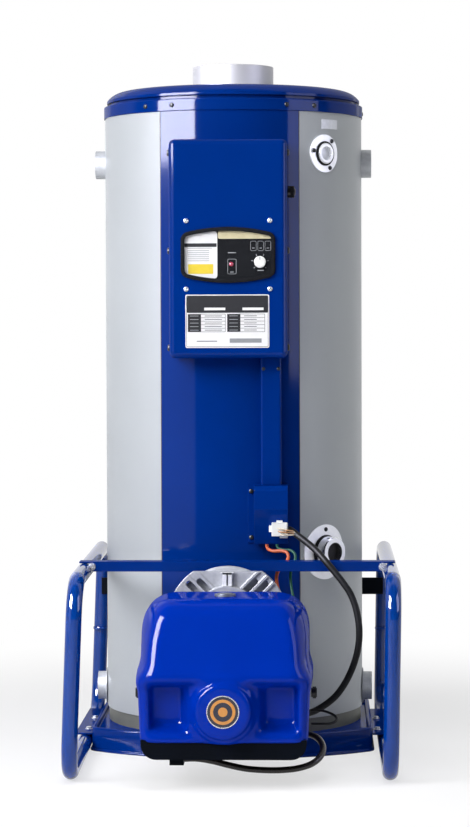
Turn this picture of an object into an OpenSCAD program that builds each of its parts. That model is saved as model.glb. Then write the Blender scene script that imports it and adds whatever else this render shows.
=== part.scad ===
// Upright cylindrical oil-fired boiler with a front burner and tube guards.
// Millimetres. Origin on the boiler axis at floor level, front towards -Y, +Z up.

/* [Body] */
// Outer diameter of the grey jacket
jacket_d = 476.4; // [440:0.2:520]
// Sheet thickness of jacket, front panel and top ring
sheet_t = 1.5; // [1:0.1:2.5]
// Height of the jacket's lower edge above the floor
jacket_base_z = 61; // [55:1:75]
// Height of the underside of the top ring
ring_base_z = 1151; // [1000:0.5:1300]
// Height of the top ring
ring_h = 21.5; // [16:0.5:30]
// Half angle of the blue front panel
seam_deg = 31.6; // [26:0.1:36]
// Width of the seam between front panel and jacket
seam_gap = 1.2; // [0.8:0.1:3]

/* [Lid and flue] */
// Setback of the lid's rolled edge from the top ring
lid_inset = 5.5; // [4:0.5:12]
// Setback of the groove under the lid from the lid's edge
lid_groove_inset = 5; // [3:0.5:10]
// Height of the groove between ring and lid
lid_groove_h = 6; // [3:0.5:10]
// Height of the lid's upright edge
lid_edge_h = 5; // [2:0.5:10]
// Rise of the lid above its upright edge
lid_rise = 16; // [10:0.5:24]
// Radius of the lid's shoulder
lid_shoulder_r = 40; // [30:1:60]
// Outer diameter of the flue collar
flue_d = 150; // [120:1:170]
// Wall of the flue collar
flue_t = 2; // [1.2:0.1:4]
// Height of the flue collar above the lid
flue_h = 48; // [30:1:90]
// Setback of the collar's lower end, which passes through the lid
flue_swage = 3; // [2:0.5:8]

/* [Base tray] */
// Reach of the tray beyond the jacket, to each side
tray_side = 15.8; // [12:0.2:24]
// Reach of the tray beyond the jacket, at the middle of its bowed front
tray_nose = 32.8; // [28:0.2:46]
// Radius of the bowed front and back
tray_bow_r = 400; // [330:5:600]
// Radius of the tray's corners
tray_corner_r = 22; // [12:1:40]
// Height of the tray's rim
tray_h = 43; // [38:1:55]
// Depth of the deck below the rim
tray_deck_drop = 7; // [5:1:12]
// Width of the rim
tray_rim_w = 9; // [8:1:11]
// Radius of the rim's edges
tray_edge_r = 3.5; // [2:0.5:4]
// Reach of the foot lip beyond the wall
tray_lip = 3.5; // [2:0.5:5]
// Height of the foot lip
tray_lip_h = 4; // [3:0.5:7]

/* [Pipe connections] */
// Outer diameter of the four side couplings
coupling_d = 52; // [44:1:60]
// Bore of the side couplings
coupling_bore = 42; // [34:1:46]
// Reach of a side coupling beyond the jacket
coupling_reach = 18; // [10:1:30]
// Height of the upper side couplings
supply_z = 1068; // [980:1:1110]
// Height of the lower side couplings
return_z = 94; // [90:1:140]
// Bearing of the two front ports, from the front towards +X
port_deg = 45; // [40:1:60]
// Height of the upper port
upper_port_z = 1077; // [980:1:1100]
// Diameter of the upper port's plate
upper_plate_d = 68; // [60:1:80]
// Outer diameter of the upper nipple
upper_nipple_d = 37; // [30:1:44]
// Bore of the upper nipple
upper_nipple_bore = 24; // [18:1:28]
// Reach of the upper nipple
upper_nipple_reach = 7; // [4:1:20]
// Height of the lower port
lower_port_z = 359.5; // [340:0.5:480]
// Diameter of the lower port's plate
lower_plate_d = 99; // [80:1:110]
// Outer diameter of the lower nozzle
lower_nozzle_d = 57; // [48:1:64]
// Bore of the lower nozzle
lower_nozzle_bore = 36; // [28:1:44]
// Reach of the lower nozzle
lower_nozzle_reach = 26; // [12:1:34]
// Thickness of the port plates
port_plate_t = 2.5; // [1.5:0.1:4]

/* [Control box] */
// Width of the control box
box_w = 208; // [190:1:230]
// Height of the control box's underside
box_base_z = 711.6; // [680:0.1:760]
// Height of the control box
box_h = 384; // [360:0.2:420]
// Stand of the control box's face off the jacket
box_stand = 61.8; // [50:0.2:90]
// Radius of the control box's edges
box_edge_r = 11; // [5:0.5:16]
// Height of the middle of the window above the box's underside
window_rise = 181; // [150:0.2:210]
// Width of the window bezel
bezel_w = 166; // [150:1:176]
// Height of the window bezel at its middle
bezel_h = 98; // [90:1:110]
// Radius of the bow of the bezel's upper and lower sides
bezel_bow_r = 300; // [250:10:600]
// Corner radius of the bezel
bezel_corner_r = 15; // [12:1:20]
// Width of the bezel's frame
bezel_frame = 7; // [5:0.5:9]
// Height of the bezel over the box's face
bezel_rise = 6; // [4:0.5:9]
// Depth of the window's plate behind the box's face
plate_sink = 2; // [1:0.5:4]
// Thickness of the plate behind the window
plate_t = 3; // [2:0.5:5]
// Diameter of the temperature dial
dial_d = 20.6; // [16:0.2:26]
// Height of the temperature dial
dial_h = 9; // [6:0.5:14]
// Distance of the dial from the middle, sideways
dial_x = 56; // [45:1:60]
// Height of the dial below the middle of the window
dial_drop = 12.6; // [6:0.2:16]
// Diameter of the dial's spindle
spindle_d = 6; // [4:0.5:8]
// Diameter of the indicator lamp
lamp_d = 8; // [6:0.5:10]
// Distance of the lamp from the middle, sideways
lamp_x = 5.6; // [0:0.2:20]
// Height of the lamp below the middle of the window
lamp_drop = 16.2; // [8:0.2:20]

/* [Cable run] */
// Width of the cable duct
duct_w = 36.5; // [28:0.5:44]
// Sideways place of the duct's middle
duct_x = 73.7; // [60:0.1:80]
// Stand of the duct's face off the jacket's front
duct_stand = 15.8; // [10:0.2:30]
// Radius of the duct's edges
duct_edge_r = 4; // [2:0.5:6]
// Width of the junction box
jbox_w = 60; // [48:1:70]
// Height of the junction box's underside
jbox_base_z = 381.7; // [375:0.1:400]
// Height of the junction box
jbox_h = 104; // [80:1:130]
// Stand of the junction box's face off the jacket's front
jbox_stand = 48.8; // [38:0.2:60]
// Height of the junction box's slanted lower face
jbox_slant_h = 63; // [40:1:70]
// Setback of the slanted face at its foot
jbox_slant_back = 24; // [16:1:32]
// Bevel along the junction box's upper edge
jbox_bevel = 8; // [4:1:12]
// Width of the junction box's side flange
jbox_flange_w = 12; // [8:1:16]
// Width of the plug
plug_w = 33; // [28:1:36]
// Height of the plug
plug_h = 26; // [20:1:30]
// Depth of the plug
plug_depth = 18; // [12:1:24]
// Distance of the plug from the junction box's middle, sideways
plug_x = 13; // [8:1:13]

/* [Burner] */
// Height of the burner's axis
burner_z = 257; // [245:1:280]
// Diameter of the burner's neck
neck_d = 110; // [90:1:130]
// Diameter of the round disc
disc_d = 190; // [170:1:200]
// Distance of the disc's back off the jacket's front
disc_stand = 116.8; // [108:0.2:140]
// Thickness of the disc
disc_t = 10; // [6:1:16]
// Thickness of the cast flange
flange_t = 18; // [12:1:24]
// Radius of the cast flange
flange_r = 105.6; // [100:0.2:112]
// Height of the cast flange's flat above the burner's axis
flange_rise = 87; // [80:1:94]
// Width of the slots in the cast flange
flange_slot_w = 11; // [8:0.5:13]
// Length of the slots in the cast flange
flange_slot_len = 34; // [20:1:40]
// Width of the ribs beside the slots
flange_rib_w = 5; // [3:0.5:6]
// Height of the ribs over the flange
flange_rib_h = 3; // [2:0.5:6]
// Length of the hub between flange and hood
hub_len = 17; // [12:1:30]
// Wall of the hub round the neck
hub_wall = 8; // [5:1:12]

/* [Burner hood] */
// Depth of the hood along its crease
hood_depth = 206; // [190:1:230]
// Half width of the hood at its widest
hood_half_w = 144; // [130:1:155]
// Height of the hood's lower edge
hood_base_z = 85; // [80:1:100]
// Height of the hood's top
hood_top_z = 313.5; // [300:0.5:330]
// Height of the crease across the hood's front
hood_crease_z = 184; // [175:1:195]
// Setback of the front panel's upper edge from the crease
hood_rake = 46; // [30:1:60]
// Setback of the hood's lower front from the crease
hood_step = 14; // [8:1:20]
// Radius of the hood's moulded corners
hood_edge_r = 16; // [10:1:20]
// Radius of the brow, where the front panel turns into the top
hood_brow_r = 30; // [16:1:36]
// Radius of the shoulders, where the sides turn into the top
hood_shoulder_r = 26; // [16:1:32]
// Radius of the front panel's crisper edges
panel_edge_r = 8; // [5:1:12]
// Width of the front panel's side bevel at the top
bevel_top = 31; // [20:1:40]
// Width of the front panel's side bevel at the crease
bevel_crease = 16; // [10:1:24]
// Diameter of the hood's round boss
boss_d = 94; // [80:1:100]
// Height of the boss's middle above the hood's lower edge
boss_rise = 50.4; // [48:0.2:56]
// Reach of the boss ahead of the crease
boss_reach = 8; // [4:1:14]
// Depth of the two pockets in the hood's front
pocket_depth = 24; // [12:1:32]
// Distance of a pocket's inner wall from the middle
pocket_inner_x = 57; // [54:1:66]
// Distance of a pocket's outer wall from the hood's side
pocket_margin = 21; // [16:1:30]
// Diameter of the badge
badge_d = 52; // [40:1:60]
// Diameter of the hood's top clip
clip_d = 36; // [26:1:40]
// Distance of the clip from the hood's back
clip_setback = 90; // [36:1:100]
// Diameter of the side knobs
knob_d = 19; // [14:1:24]
// Distance of the knobs from the hood's back
knob_setback = 56; // [40:1:90]
// Height of the knobs above the hood's lower edge
knob_rise = 60.6; // [40:0.2:70]
// Height of the burner base's underside
burner_base_z = 52; // [45:1:60]
// Radius of the burner base's lower edges
base_edge_r = 26; // [16:1:28]

/* [Guard] */
// Outer diameter of the guard tube
tube_d = 27.2; // [21.7:0.1:34]
// Bend radius at the middle of the tube
tube_bend_r = 60; // [45:1:90]
// Gap between the tray's side and the left loop's bottom run
left_loop_gap = 3.4; // [0.4:0.2:8]
// Gap between the tray's side and the right loop's bottom run
right_loop_gap = 10; // [2:0.2:16]
// Height of the top run's middle
loop_top_z = 340; // [320:1:380]
// Reach of the front leg ahead of the hood's back
loop_ahead = 134; // [50:1:140]
// Distance of the rear leg behind the axis
loop_back = 190; // [100:1:220]
// Lean of the left loop towards the body
left_lean = 2.2; // [0:0.1:3]
// Turn of the left loop about the upright, its front towards the body
left_toe = 0.9; // [0:0.1:1]
// Lean of the right loop away from the body
right_lean = 0.9; // [0:0.1:3]
// Distance of the crossbar's face behind the burner disc
bar_setback = 25; // [20:1:40]
// Depth of the crossbar's top flange
bar_depth = 30; // [20:1:36]
// Height of the crossbar's face
bar_h = 17.5; // [12:0.5:30]
// Thickness of the crossbar and the tray brackets
bar_t = 3; // [2:0.5:5]
// Height of the brackets between body and loops
body_bracket_h = 32; // [24:1:40]
// Thickness of the brackets between body and loops
body_bracket_t = 5; // [3:0.5:8]
// Reach of the tray brackets ahead of the axis
tray_bracket_front = 172; // [120:1:190]
// Distance of the tray brackets' rear end from the loop's rear bend
tray_bracket_gap = 2; // [1:1:40]

/* [Cords] */
// Diameter of the burner cable
cable_d = 12; // [10:0.5:14]
// Diameter of the oil hose
hose_d = 11; // [9:0.5:13]
// Diameter of the ignition wire
ignition_d = 6; // [4:0.5:7]
// Diameter of the earth wire
earth_d = 5; // [4:0.5:6]
// Diameter of the sensor lead
sensor_d = 4.5; // [3.5:0.5:6]

/* [Hidden] */

$fn = 96;
// Facets of the rounded corners that are hulled together
corner_fn = 28;
// Clearance between pieces that seat on each other
fit = 0.3;
// Overlap that lets a cut run clear of a face
over = 1;

// Colours of the finishes
royal_blue = "#0B3A9E";
hood_blue = "#0A35B8";
jacket_grey = "#A9AFB3";
silver = "#C9CBCC";
black = "#15171C";
white = "#EDEDEA";

jacket_r = jacket_d / 2;
vessel_r = jacket_r - sheet_t - fit;
foot_inset = 1;
foot_r = vessel_r - foot_inset;
ring_r = jacket_r + fit + sheet_t;
ring_top_z = ring_base_z + ring_h;
skin_top_z = ring_top_z - sheet_t - fit;
socket_depth = 22;
socket_floor_r = vessel_r - socket_depth;

lid_r = ring_r - lid_inset;
lid_neck_r = lid_r - lid_groove_inset;
lid_base_z = ring_top_z + lid_groove_h;
lid_edge_z = lid_base_z + lid_edge_h;
lid_top_z = lid_edge_z + lid_rise;
flue_top_z = lid_top_z + flue_h;
flue_neck_r = flue_d / 2 - flue_swage;

tray_half_w = jacket_r + tray_side;
tray_reach = jacket_r + tray_nose;
deck_z = tray_h - tray_deck_drop;

box_front = jacket_r + box_stand;
box_top_z = box_base_z + box_h;
window_z = box_base_z + window_rise;
plate_face = box_front - plate_sink;
dial_z = window_z - dial_drop;
dial_gap = 0.8;
spindle_len = 8;
spindle_play = 0.05;
lamp_z = window_z - lamp_drop;
lamp_room = 2;

duct_front = jacket_r + duct_stand;
jbox_front = jacket_r + jbox_stand;
jbox_top_z = jbox_base_z + jbox_h;

disc_back = jacket_r + disc_stand;
flange_back = disc_back + disc_t;
flange_front = flange_back + flange_t;
flange_top_z = burner_z + flange_rise;
hub_d = neck_d + 2 * hub_wall;
hood_back = flange_front + hub_len;
crease_front = hood_back + hood_depth;
panel_top_front = crease_front - hood_rake;
lower_front = crease_front - hood_step;
boss_z = hood_base_z + boss_rise;
boss_front = crease_front + boss_reach;
badge_sink = 2;

tube_r = tube_d / 2;
left_loop_x = -tray_half_w - left_loop_gap - tube_r;
right_loop_x = tray_half_w + right_loop_gap + tube_r;
loop_front = hood_back + loop_ahead;
loop_rise = loop_top_z - tube_r;
left_top_x = left_loop_x + loop_rise * sin(left_lean);
right_top_x = right_loop_x + loop_rise * sin(right_lean);
bar_front = disc_back - bar_setback;
left_bar_x = left_top_x + bar_front * sin(left_toe);
bar_base_z = loop_top_z + tube_r + fit;

// Moves a piece built about +Z at the origin to a bearing on the jacket, pointing outwards
module on_jacket(bearing, z) {
    translate([0, 0, z]) rotate([0, 0, bearing - 90]) rotate([0, 90, 0]) children();
}

// Turns a piece built about +Z to point forwards, with its foot at a distance ahead of the axis
module facing_front(x, distance, z) {
    translate([x, -distance, z]) rotate([90, 0, 0]) children();
}

// Place of a bowed outline's corner arc along Y
function bow_corner_y(half_w, reach, bow_r, corner_r) =
    sqrt(pow(bow_r - corner_r, 2) - pow(half_w - corner_r, 2)) - bow_r + reach;

// Bearing at which the corner arc of a bowed outline runs into its bow
function bow_lean(half_w, reach, bow_r, corner_r) =
    atan2(bow_corner_y(half_w, reach, bow_r, corner_r) + bow_r - reach, half_w - corner_r);

// Flat outline with straight sides, bowed ends and rounded corners, inset all round
module bowed_outline(half_w, reach, bow_r, corner_r, inset = 0) {
    w = half_w - inset;
    r = bow_r - inset;
    c = corner_r - inset;
    bow_y = bow_r - reach;
    corner_y = bow_corner_y(half_w, reach, bow_r, corner_r);
    lean = bow_lean(half_w, reach, bow_r, corner_r);
    far = 3 * c;
    difference() {
        intersection() {
            square([2 * w, 2 * reach], center = true);
            translate([0, bow_y]) circle(r);
            translate([0, -bow_y]) circle(r);
        }
        for (sx = [-1, 1], sy = [-1, 1]) scale([sx, sy]) translate([w - c, corner_y])
            polygon([[0, 0], [c, 0], [far, 0], [far * cos(lean), far * sin(lean)] * sqrt(2),
                [c * cos(lean), c * sin(lean)]]);
    }
    for (sx = [-1, 1], sy = [-1, 1]) translate([sx * (w - c), sy * corner_y]) circle(c);
}

// Ring wall turned about the boiler axis over a span of bearings
module shell_sector(r_out, t, z0, h, from_deg, span) {
    rotate([0, 0, from_deg]) rotate_extrude(angle = span) translate([r_out - t, z0]) square([t, h]);
}

// Round tube through the points of a route, one ring of sides at each point
function route_dir(p, i) =
    let (a = max(i - 1, 0), b = min(i + 1, len(p) - 1), d = p[b] - p[a]) d / norm(d);
function ring_at(p, i, r, sides, ref) =
    let (t = route_dir(p, i), c = cross(t, ref), u = c / norm(c), v = cross(t, u))
    [for (k = [0 : sides - 1]) p[i] + r * (cos(360 * k / sides) * u + sin(360 * k / sides) * v)];
module cord(p, d, ref, sides = 10) {
    n = len(p);
    points = [for (i = [0 : n - 1]) each ring_at(p, i, d / 2, sides, ref)];
    walls = [for (i = [0 : n - 2], k = [0 : sides - 1]) let (m = (k + 1) % sides)
        each [[i * sides + k, i * sides + m, (i + 1) * sides + m],
            [i * sides + k, (i + 1) * sides + m, (i + 1) * sides + k]]];
    first = [for (k = [0 : sides - 1]) sides - 1 - k];
    last = [for (k = [0 : sides - 1]) (n - 1) * sides + k];
    polyhedron(points, concat(walls, [first], [last]));
}

// Routes of the cords, points chosen by hand
cable_route = [
    [103.5, -284, 410], [119, -284, 410], [133, -292, 404], [146, -311, 391], [159, -334, 371],
    [173, -345, 346], [187, -350, 321], [201, -354, 294], [214, -357, 256], [220, -358, 216],
    [214, -357, 175], [200, -354, 143], [182, -351, 119], [164, -351, 105], [146, -355, 97],
    [130, -365, 95], [120, -380, 95], [117, -390, 95], [117, -399.7, 95]
];
hose_route = [
    [115.3, -436, 72], [136, -436, 72], [154, -446, 67], [164, -466, 56], [161, -488, 43],
    [146, -503, 32], [122, -509, 25], [92, -510, 22], [62, -509, 22], [34, -507, 24],
    [6, -503, 29], [-20, -500, 35], [-46, -498, 39], [-69.7, -498, 39]
];
ignition_route = [
    [66, -262, 381.4], [66, -262, 371], [75, -267, 359], [85, -275, 349], [86, -283, 336],
    [83, -289, 321], [86, -299, 302], [95, -315, 278], [106, -336, 256], [112, -362, 241],
    [114, -385, 236], [114, -399.7, 236]
];
earth_route = [
    [84, -262, 381.4], [84, -262, 371], [94, -267, 359], [103, -275, 347], [107, -283, 332],
    [110, -295, 312], [113, -314, 290], [116, -338, 271], [117, -364, 260], [117, -386, 256],
    [117, -399.7, 256]
];
sensor_route = [
    [144.3, -428, 111], [154, -428, 111], [165, -429, 110], [176, -432, 107], [185, -438, 103],
    [188, -447, 99], [184, -456, 95], [175, -461, 93], [164, -463, 93], [154, -463, 93], [144.3, -463, 93]
];

// BODY

// Tray with its rim rounded over in steps, and a foot lip
module base_tray() {
    r = tray_edge_r;
    steps = [40, 90];
    module outline(inset) { bowed_outline(tray_half_w, tray_reach, tray_bow_r, tray_corner_r, inset); }
    color(royal_blue) {
        linear_extrude(tray_lip_h) outline(-tray_lip);
        linear_extrude(deck_z) outline(0);
        for (a = steps) linear_extrude(tray_h - r + r * cos(a)) difference() {
            outline(r - r * sin(a));
            outline(tray_rim_w - r + r * sin(a));
        }
    }
}

module body_foot() {
    color("#7C8074") translate([0, 0, deck_z]) cylinder(r = foot_r, h = jacket_base_z - deck_z);
}

module boiler_vessel() {
    module socket(d) { translate([0, 0, socket_floor_r]) cylinder(d = d + 2 * fit, h = 2 * socket_depth); }
    color("#6E7276") difference() {
        translate([0, 0, jacket_base_z]) cylinder(r = vessel_r, h = skin_top_z - jacket_base_z);
        for (bearing = [-90, 90], z = [supply_z, return_z]) on_jacket(bearing, z) socket(coupling_d);
        on_jacket(port_deg, upper_port_z) socket(upper_nipple_d);
        on_jacket(port_deg, lower_port_z) socket(lower_nozzle_d);
        facing_front(0, 0, burner_z) socket(neck_d);
    }
}

module outer_jacket() {
    hole_gap = 2;
    module hole(d) { cylinder(d = d + 2 * hole_gap, h = jacket_d); }
    color(jacket_grey) difference() {
        shell_sector(jacket_r, sheet_t, jacket_base_z, skin_top_z - jacket_base_z,
            -90 + seam_deg, 360 - 2 * seam_deg);
        for (bearing = [-90, 90], z = [supply_z, return_z]) on_jacket(bearing, z) hole(coupling_d);
        on_jacket(port_deg, upper_port_z) hole(upper_nipple_d);
        on_jacket(port_deg, lower_port_z) hole(lower_nozzle_d);
    }
}

module front_panel() {
    gap_deg = seam_gap / jacket_r * 180 / PI;
    color(royal_blue) difference() {
        shell_sector(jacket_r, sheet_t, jacket_base_z, skin_top_z - jacket_base_z,
            -90 - seam_deg + gap_deg, 2 * (seam_deg - gap_deg));
        facing_front(0, 0, burner_z) cylinder(d = neck_d + 2 * fit, h = jacket_d);
    }
}

module top_ring() {
    edge_r = sheet_t;
    inward = 12;
    color(royal_blue) rotate_extrude() {
        translate([ring_r - sheet_t, ring_base_z]) square([sheet_t, ring_h - edge_r]);
        translate([ring_r - inward, ring_top_z - sheet_t]) square([inward - edge_r, sheet_t]);
        intersection() {
            translate([ring_r - edge_r, ring_top_z - edge_r]) circle(edge_r);
            translate([ring_r - edge_r, ring_top_z - edge_r]) square(edge_r);
        }
    }
}

// Half section of the lid, to the outside of its sheet
module lid_section() {
    shoulder_x = lid_r - sqrt(lid_shoulder_r * lid_shoulder_r
        - (lid_shoulder_r - lid_rise) * (lid_shoulder_r - lid_rise));
    translate([0, ring_top_z]) square([lid_neck_r, lid_groove_h + over]);
    translate([0, lid_base_z]) square([lid_r, lid_edge_h]);
    translate([0, lid_edge_z - over]) square([shoulder_x, lid_rise + over]);
    intersection() {
        translate([shoulder_x, lid_top_z - lid_shoulder_r]) circle(lid_shoulder_r);
        translate([shoulder_x - over, lid_edge_z - over]) square([lid_r, lid_rise + over]);
        translate([0, lid_edge_z - over]) square([lid_r, lid_rise + over]);
    }
}

module top_lid() {
    color(royal_blue) difference() {
        rotate_extrude() lid_section();
        translate([0, 0, ring_top_z - over])
            cylinder(r = flue_neck_r + fit, h = lid_top_z - ring_top_z + 2 * over);
    }
}

// Spigot for the flue pipe, swaged in where it passes through the lid
module flue_collar() {
    seat_z = lid_top_z + fit;
    color(silver) rotate_extrude() {
        translate([flue_neck_r - flue_t, skin_top_z]) square([flue_t, seat_z + flue_t - skin_top_z]);
        translate([flue_neck_r - flue_t, seat_z]) square([flue_swage + flue_t, flue_t]);
        translate([flue_d / 2 - flue_t, seat_z]) square([flue_t, flue_top_z - flue_t / 2 - seat_z]);
        translate([flue_d / 2 - flue_t / 2, flue_top_z - flue_t / 2]) circle(flue_t / 2);
    }
}

// PIPE CONNECTIONS

// Threaded socket that stands out of the vessel
module coupling(bearing, z, ring) {
    ring_w = 7;
    ring_t = 2;
    inner = socket_floor_r + fit;
    outer = jacket_r + coupling_reach;
    color(silver) on_jacket(bearing, z) difference() {
        union() {
            translate([0, 0, inner]) cylinder(d = coupling_d, h = outer - inner);
            if (ring) translate([0, 0, jacket_r + fit]) cylinder(d = coupling_d + 2 * ring_w, h = ring_t);
        }
        translate([0, 0, vessel_r]) cylinder(d = coupling_bore, h = outer);
    }
}
module supply_coupling_left() { coupling(-90, supply_z, false); }
module supply_coupling_right() { coupling(90, supply_z, false); }
module return_coupling_left() { coupling(-90, return_z, true); }
module return_coupling_right() { coupling(90, return_z, true); }

// Plate rolled to the jacket's curve, round a port
module port_plate(z, plate_d, hole_d) {
    color(silver) intersection() {
        difference() {
            translate([0, 0, z - plate_d]) cylinder(r = jacket_r + fit + port_plate_t, h = 2 * plate_d);
            translate([0, 0, z - plate_d - over]) cylinder(r = jacket_r + fit, h = 2 * plate_d + 2 * over);
        }
        on_jacket(port_deg, z) difference() {
            cylinder(d = plate_d, h = jacket_d);
            translate([0, 0, -over]) cylinder(d = hole_d, h = jacket_d + 2 * over);
        }
    }
}
module upper_port_plate() {
    hole_gap = 3;
    port_plate(upper_port_z, upper_plate_d, upper_nipple_d + 2 * hole_gap);
}
module lower_port_plate() { port_plate(lower_port_z, lower_plate_d, lower_nozzle_d + 2 * fit); }

// Round nipple with a bore and a turned lip
module port_nipple(z, d, bore, reach, lip) {
    inner = socket_floor_r + fit;
    outer = jacket_r + reach;
    color(silver) on_jacket(port_deg, z) difference() {
        union() {
            translate([0, 0, inner]) cylinder(d = d, h = outer - inner - lip);
            translate([0, 0, outer - lip - over]) cylinder(d = d - 2 * lip, h = lip + over);
        }
        translate([0, 0, vessel_r]) cylinder(d = bore, h = outer);
    }
}
module upper_port_nipple() {
    lip = 1;
    port_nipple(upper_port_z, upper_nipple_d, upper_nipple_bore, upper_nipple_reach, lip);
}
module lower_port_nozzle() {
    lip = 2;
    port_nipple(lower_port_z, lower_nozzle_d, lower_nozzle_bore, lower_nozzle_reach, lip);
}

// CONTROLS

// Block with rounded front and side edges, its back left square
module rounded_block(x0, x1, front, back, z0, z1, r) {
    hull() for (x = [x0 + r, x1 - r], z = [z0 + r, z1 - r]) {
        translate([x, -front + r, z]) sphere(r, $fn = 32);
        translate([x, -front + r, z]) rotate([-90, 0, 0]) cylinder(r = r, h = front - back - r, $fn = 32);
    }
}

module window_outline(inset) { bowed_outline(bezel_w / 2, bezel_h / 2, bezel_bow_r, bezel_corner_r, inset); }

// Stands a flat outline up on the control box's face, y from its face back
module on_face(y_front, t) {
    translate([0, y_front + t, window_z]) rotate([90, 0, 0]) linear_extrude(t) children();
}

module control_box() {
    recess = plate_sink + plate_t + fit;
    color(royal_blue) difference() {
        rounded_block(-box_w / 2, box_w / 2, box_front, jacket_r / 2, box_base_z, box_top_z, box_edge_r);
        translate([0, 0, box_base_z - over]) cylinder(r = jacket_r + fit, h = box_h + 2 * over);
        on_face(-box_front - over, recess + over) window_outline(bezel_frame - fit);
        facing_front(dial_x, plate_face - plate_t - spindle_len, dial_z)
            cylinder(d = dial_d, h = plate_t + spindle_len);
        facing_front(lamp_x, plate_face - plate_t - spindle_len, lamp_z)
            cylinder(d = lamp_d + 2 * lamp_room, h = plate_t + spindle_len);
    }
}

module control_bezel() {
    lip = 1.5;
    color(black) {
        on_face(-box_front - bezel_rise + lip, bezel_rise - lip) difference() {
            window_outline(0);
            window_outline(bezel_frame);
        }
        on_face(-box_front - bezel_rise, lip + over) difference() {
            window_outline(lip);
            window_outline(bezel_frame - lip);
        }
    }
}

module control_plate() {
    color(black) difference() {
        on_face(-plate_face, plate_t) window_outline(bezel_frame);
        facing_front(dial_x, plate_face - plate_t - over, dial_z)
            cylinder(d = spindle_d + 2 * spindle_play, h = plate_t + 2 * over);
        facing_front(lamp_x, plate_face - plate_t - over, lamp_z)
            cylinder(d = lamp_d + 2 * fit, h = plate_t + 2 * over);
    }
}

module temperature_dial() {
    mark_w = 1.6;
    mark_depth = 0.8;
    round_r = 2;
    spindle_back = 2;
    stem = dial_gap + plate_t + spindle_back;
    color(white) facing_front(dial_x, plate_face + dial_gap, dial_z) {
        difference() {
            rotate_extrude() {
                square([dial_d / 2, dial_h - round_r]);
                square([dial_d / 2 - round_r, dial_h]);
                translate([dial_d / 2 - round_r, dial_h - round_r]) circle(round_r);
            }
            translate([-mark_w / 2, dial_d / 4, dial_h - mark_depth])
                cube([mark_w, dial_d / 4 + over, dial_h]);
        }
        translate([0, 0, -stem]) cylinder(d = spindle_d, h = stem + over);
    }
}

module indicator_lamp() {
    seat = plate_t + lamp_room;
    color("#B02038") {
        facing_front(lamp_x, plate_face - seat, lamp_z) cylinder(d = lamp_d, h = seat);
        translate([lamp_x, -plate_face, lamp_z]) intersection() {
            sphere(d = lamp_d);
            translate([-lamp_d, -lamp_d, -lamp_d]) cube([2 * lamp_d, lamp_d + over, 2 * lamp_d]);
        }
    }
}

module side_grommet() {
    collar_r = 10;
    collar_t = 5;
    tip_r = 6;
    round_r = 2;
    length = 14;
    setback = 32;
    drop = 92;
    color(black) translate([box_w / 2 + fit, -box_front + setback, box_top_z - drop]) rotate([0, 90, 0])
        rotate_extrude() {
            square([collar_r, collar_t]);
            square([tip_r, length - round_r]);
            square([tip_r - round_r, length]);
            translate([tip_r - round_r, length - round_r]) circle(round_r);
        }
}

// CABLE RUN

module cable_duct() {
    r = duct_edge_r;
    z0 = jbox_top_z + fit;
    color(royal_blue) translate([0, 0, z0]) linear_extrude(box_base_z - fit - z0) difference() {
        union() {
            translate([duct_x - duct_w / 2, -duct_front + r]) square([duct_w, duct_front - jacket_r / 2]);
            translate([duct_x - duct_w / 2 + r, -duct_front]) square([duct_w - 2 * r, 2 * r]);
            for (s = [-1, 1]) translate([duct_x + s * (duct_w / 2 - r), -duct_front + r]) circle(r);
        }
        circle(jacket_r + fit);
    }
}

module junction_box() {
    flange_sheet = 2;
    left = duct_x - jbox_w / 2;
    color(royal_blue) difference() {
        union() {
            translate([left, 0, jbox_base_z]) rotate([90, 0, 90]) linear_extrude(jbox_w)
                polygon([[-jacket_r / 2, 0], [-jbox_front + jbox_slant_back, 0], [-jbox_front, jbox_slant_h],
                    [-jbox_front, jbox_h - jbox_bevel], [-jbox_front + jbox_bevel, jbox_h],
                    [-jacket_r / 2, jbox_h]]);
            intersection() {
                translate([0, 0, jbox_base_z]) cylinder(r = jacket_r + fit + flange_sheet, h = jbox_h);
                translate([left - jbox_flange_w, -jacket_d, jbox_base_z])
                    cube([jbox_flange_w + over, jacket_d, jbox_h]);
            }
        }
        translate([0, 0, jbox_base_z - over]) cylinder(r = jacket_r + fit, h = jbox_h + 2 * over);
    }
}

// Plug block seated square on the junction box's slanted face, with ribs across its front
module plug_connector() {
    slant_deg = atan2(jbox_slant_back, jbox_slant_h);
    seat_gap = 0.2;
    rib = 2.4;
    rib_margin = 3;
    rib_half_count = 2;
    rib_pitch = plug_w / (2 * rib_half_count + 2);
    color(white)
        translate([duct_x + plug_x, -jbox_front + jbox_slant_back / 2 - seat_gap, jbox_base_z + jbox_slant_h / 2])
        rotate([slant_deg, 0, 0]) {
            translate([-plug_w / 2, -plug_depth, -plug_h / 2]) cube([plug_w, plug_depth, plug_h]);
            for (i = [-rib_half_count : rib_half_count])
                translate([i * rib_pitch - rib / 2, -plug_depth - rib, -plug_h / 2 + rib_margin])
                cube([rib, rib + over, plug_h - 2 * rib_margin]);
        }
}

// BURNER

module burner_neck() {
    inner = socket_floor_r + fit;
    color("#3A3D42") facing_front(0, inner, burner_z) cylinder(d = neck_d, h = disc_back - inner);
}

module burner_disc() {
    lip = 2;
    color(silver) facing_front(0, disc_back, burner_z) rotate_extrude() {
        square([disc_d / 2, disc_t - lip]);
        square([disc_d / 2 - lip, disc_t]);
    }
}

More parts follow.
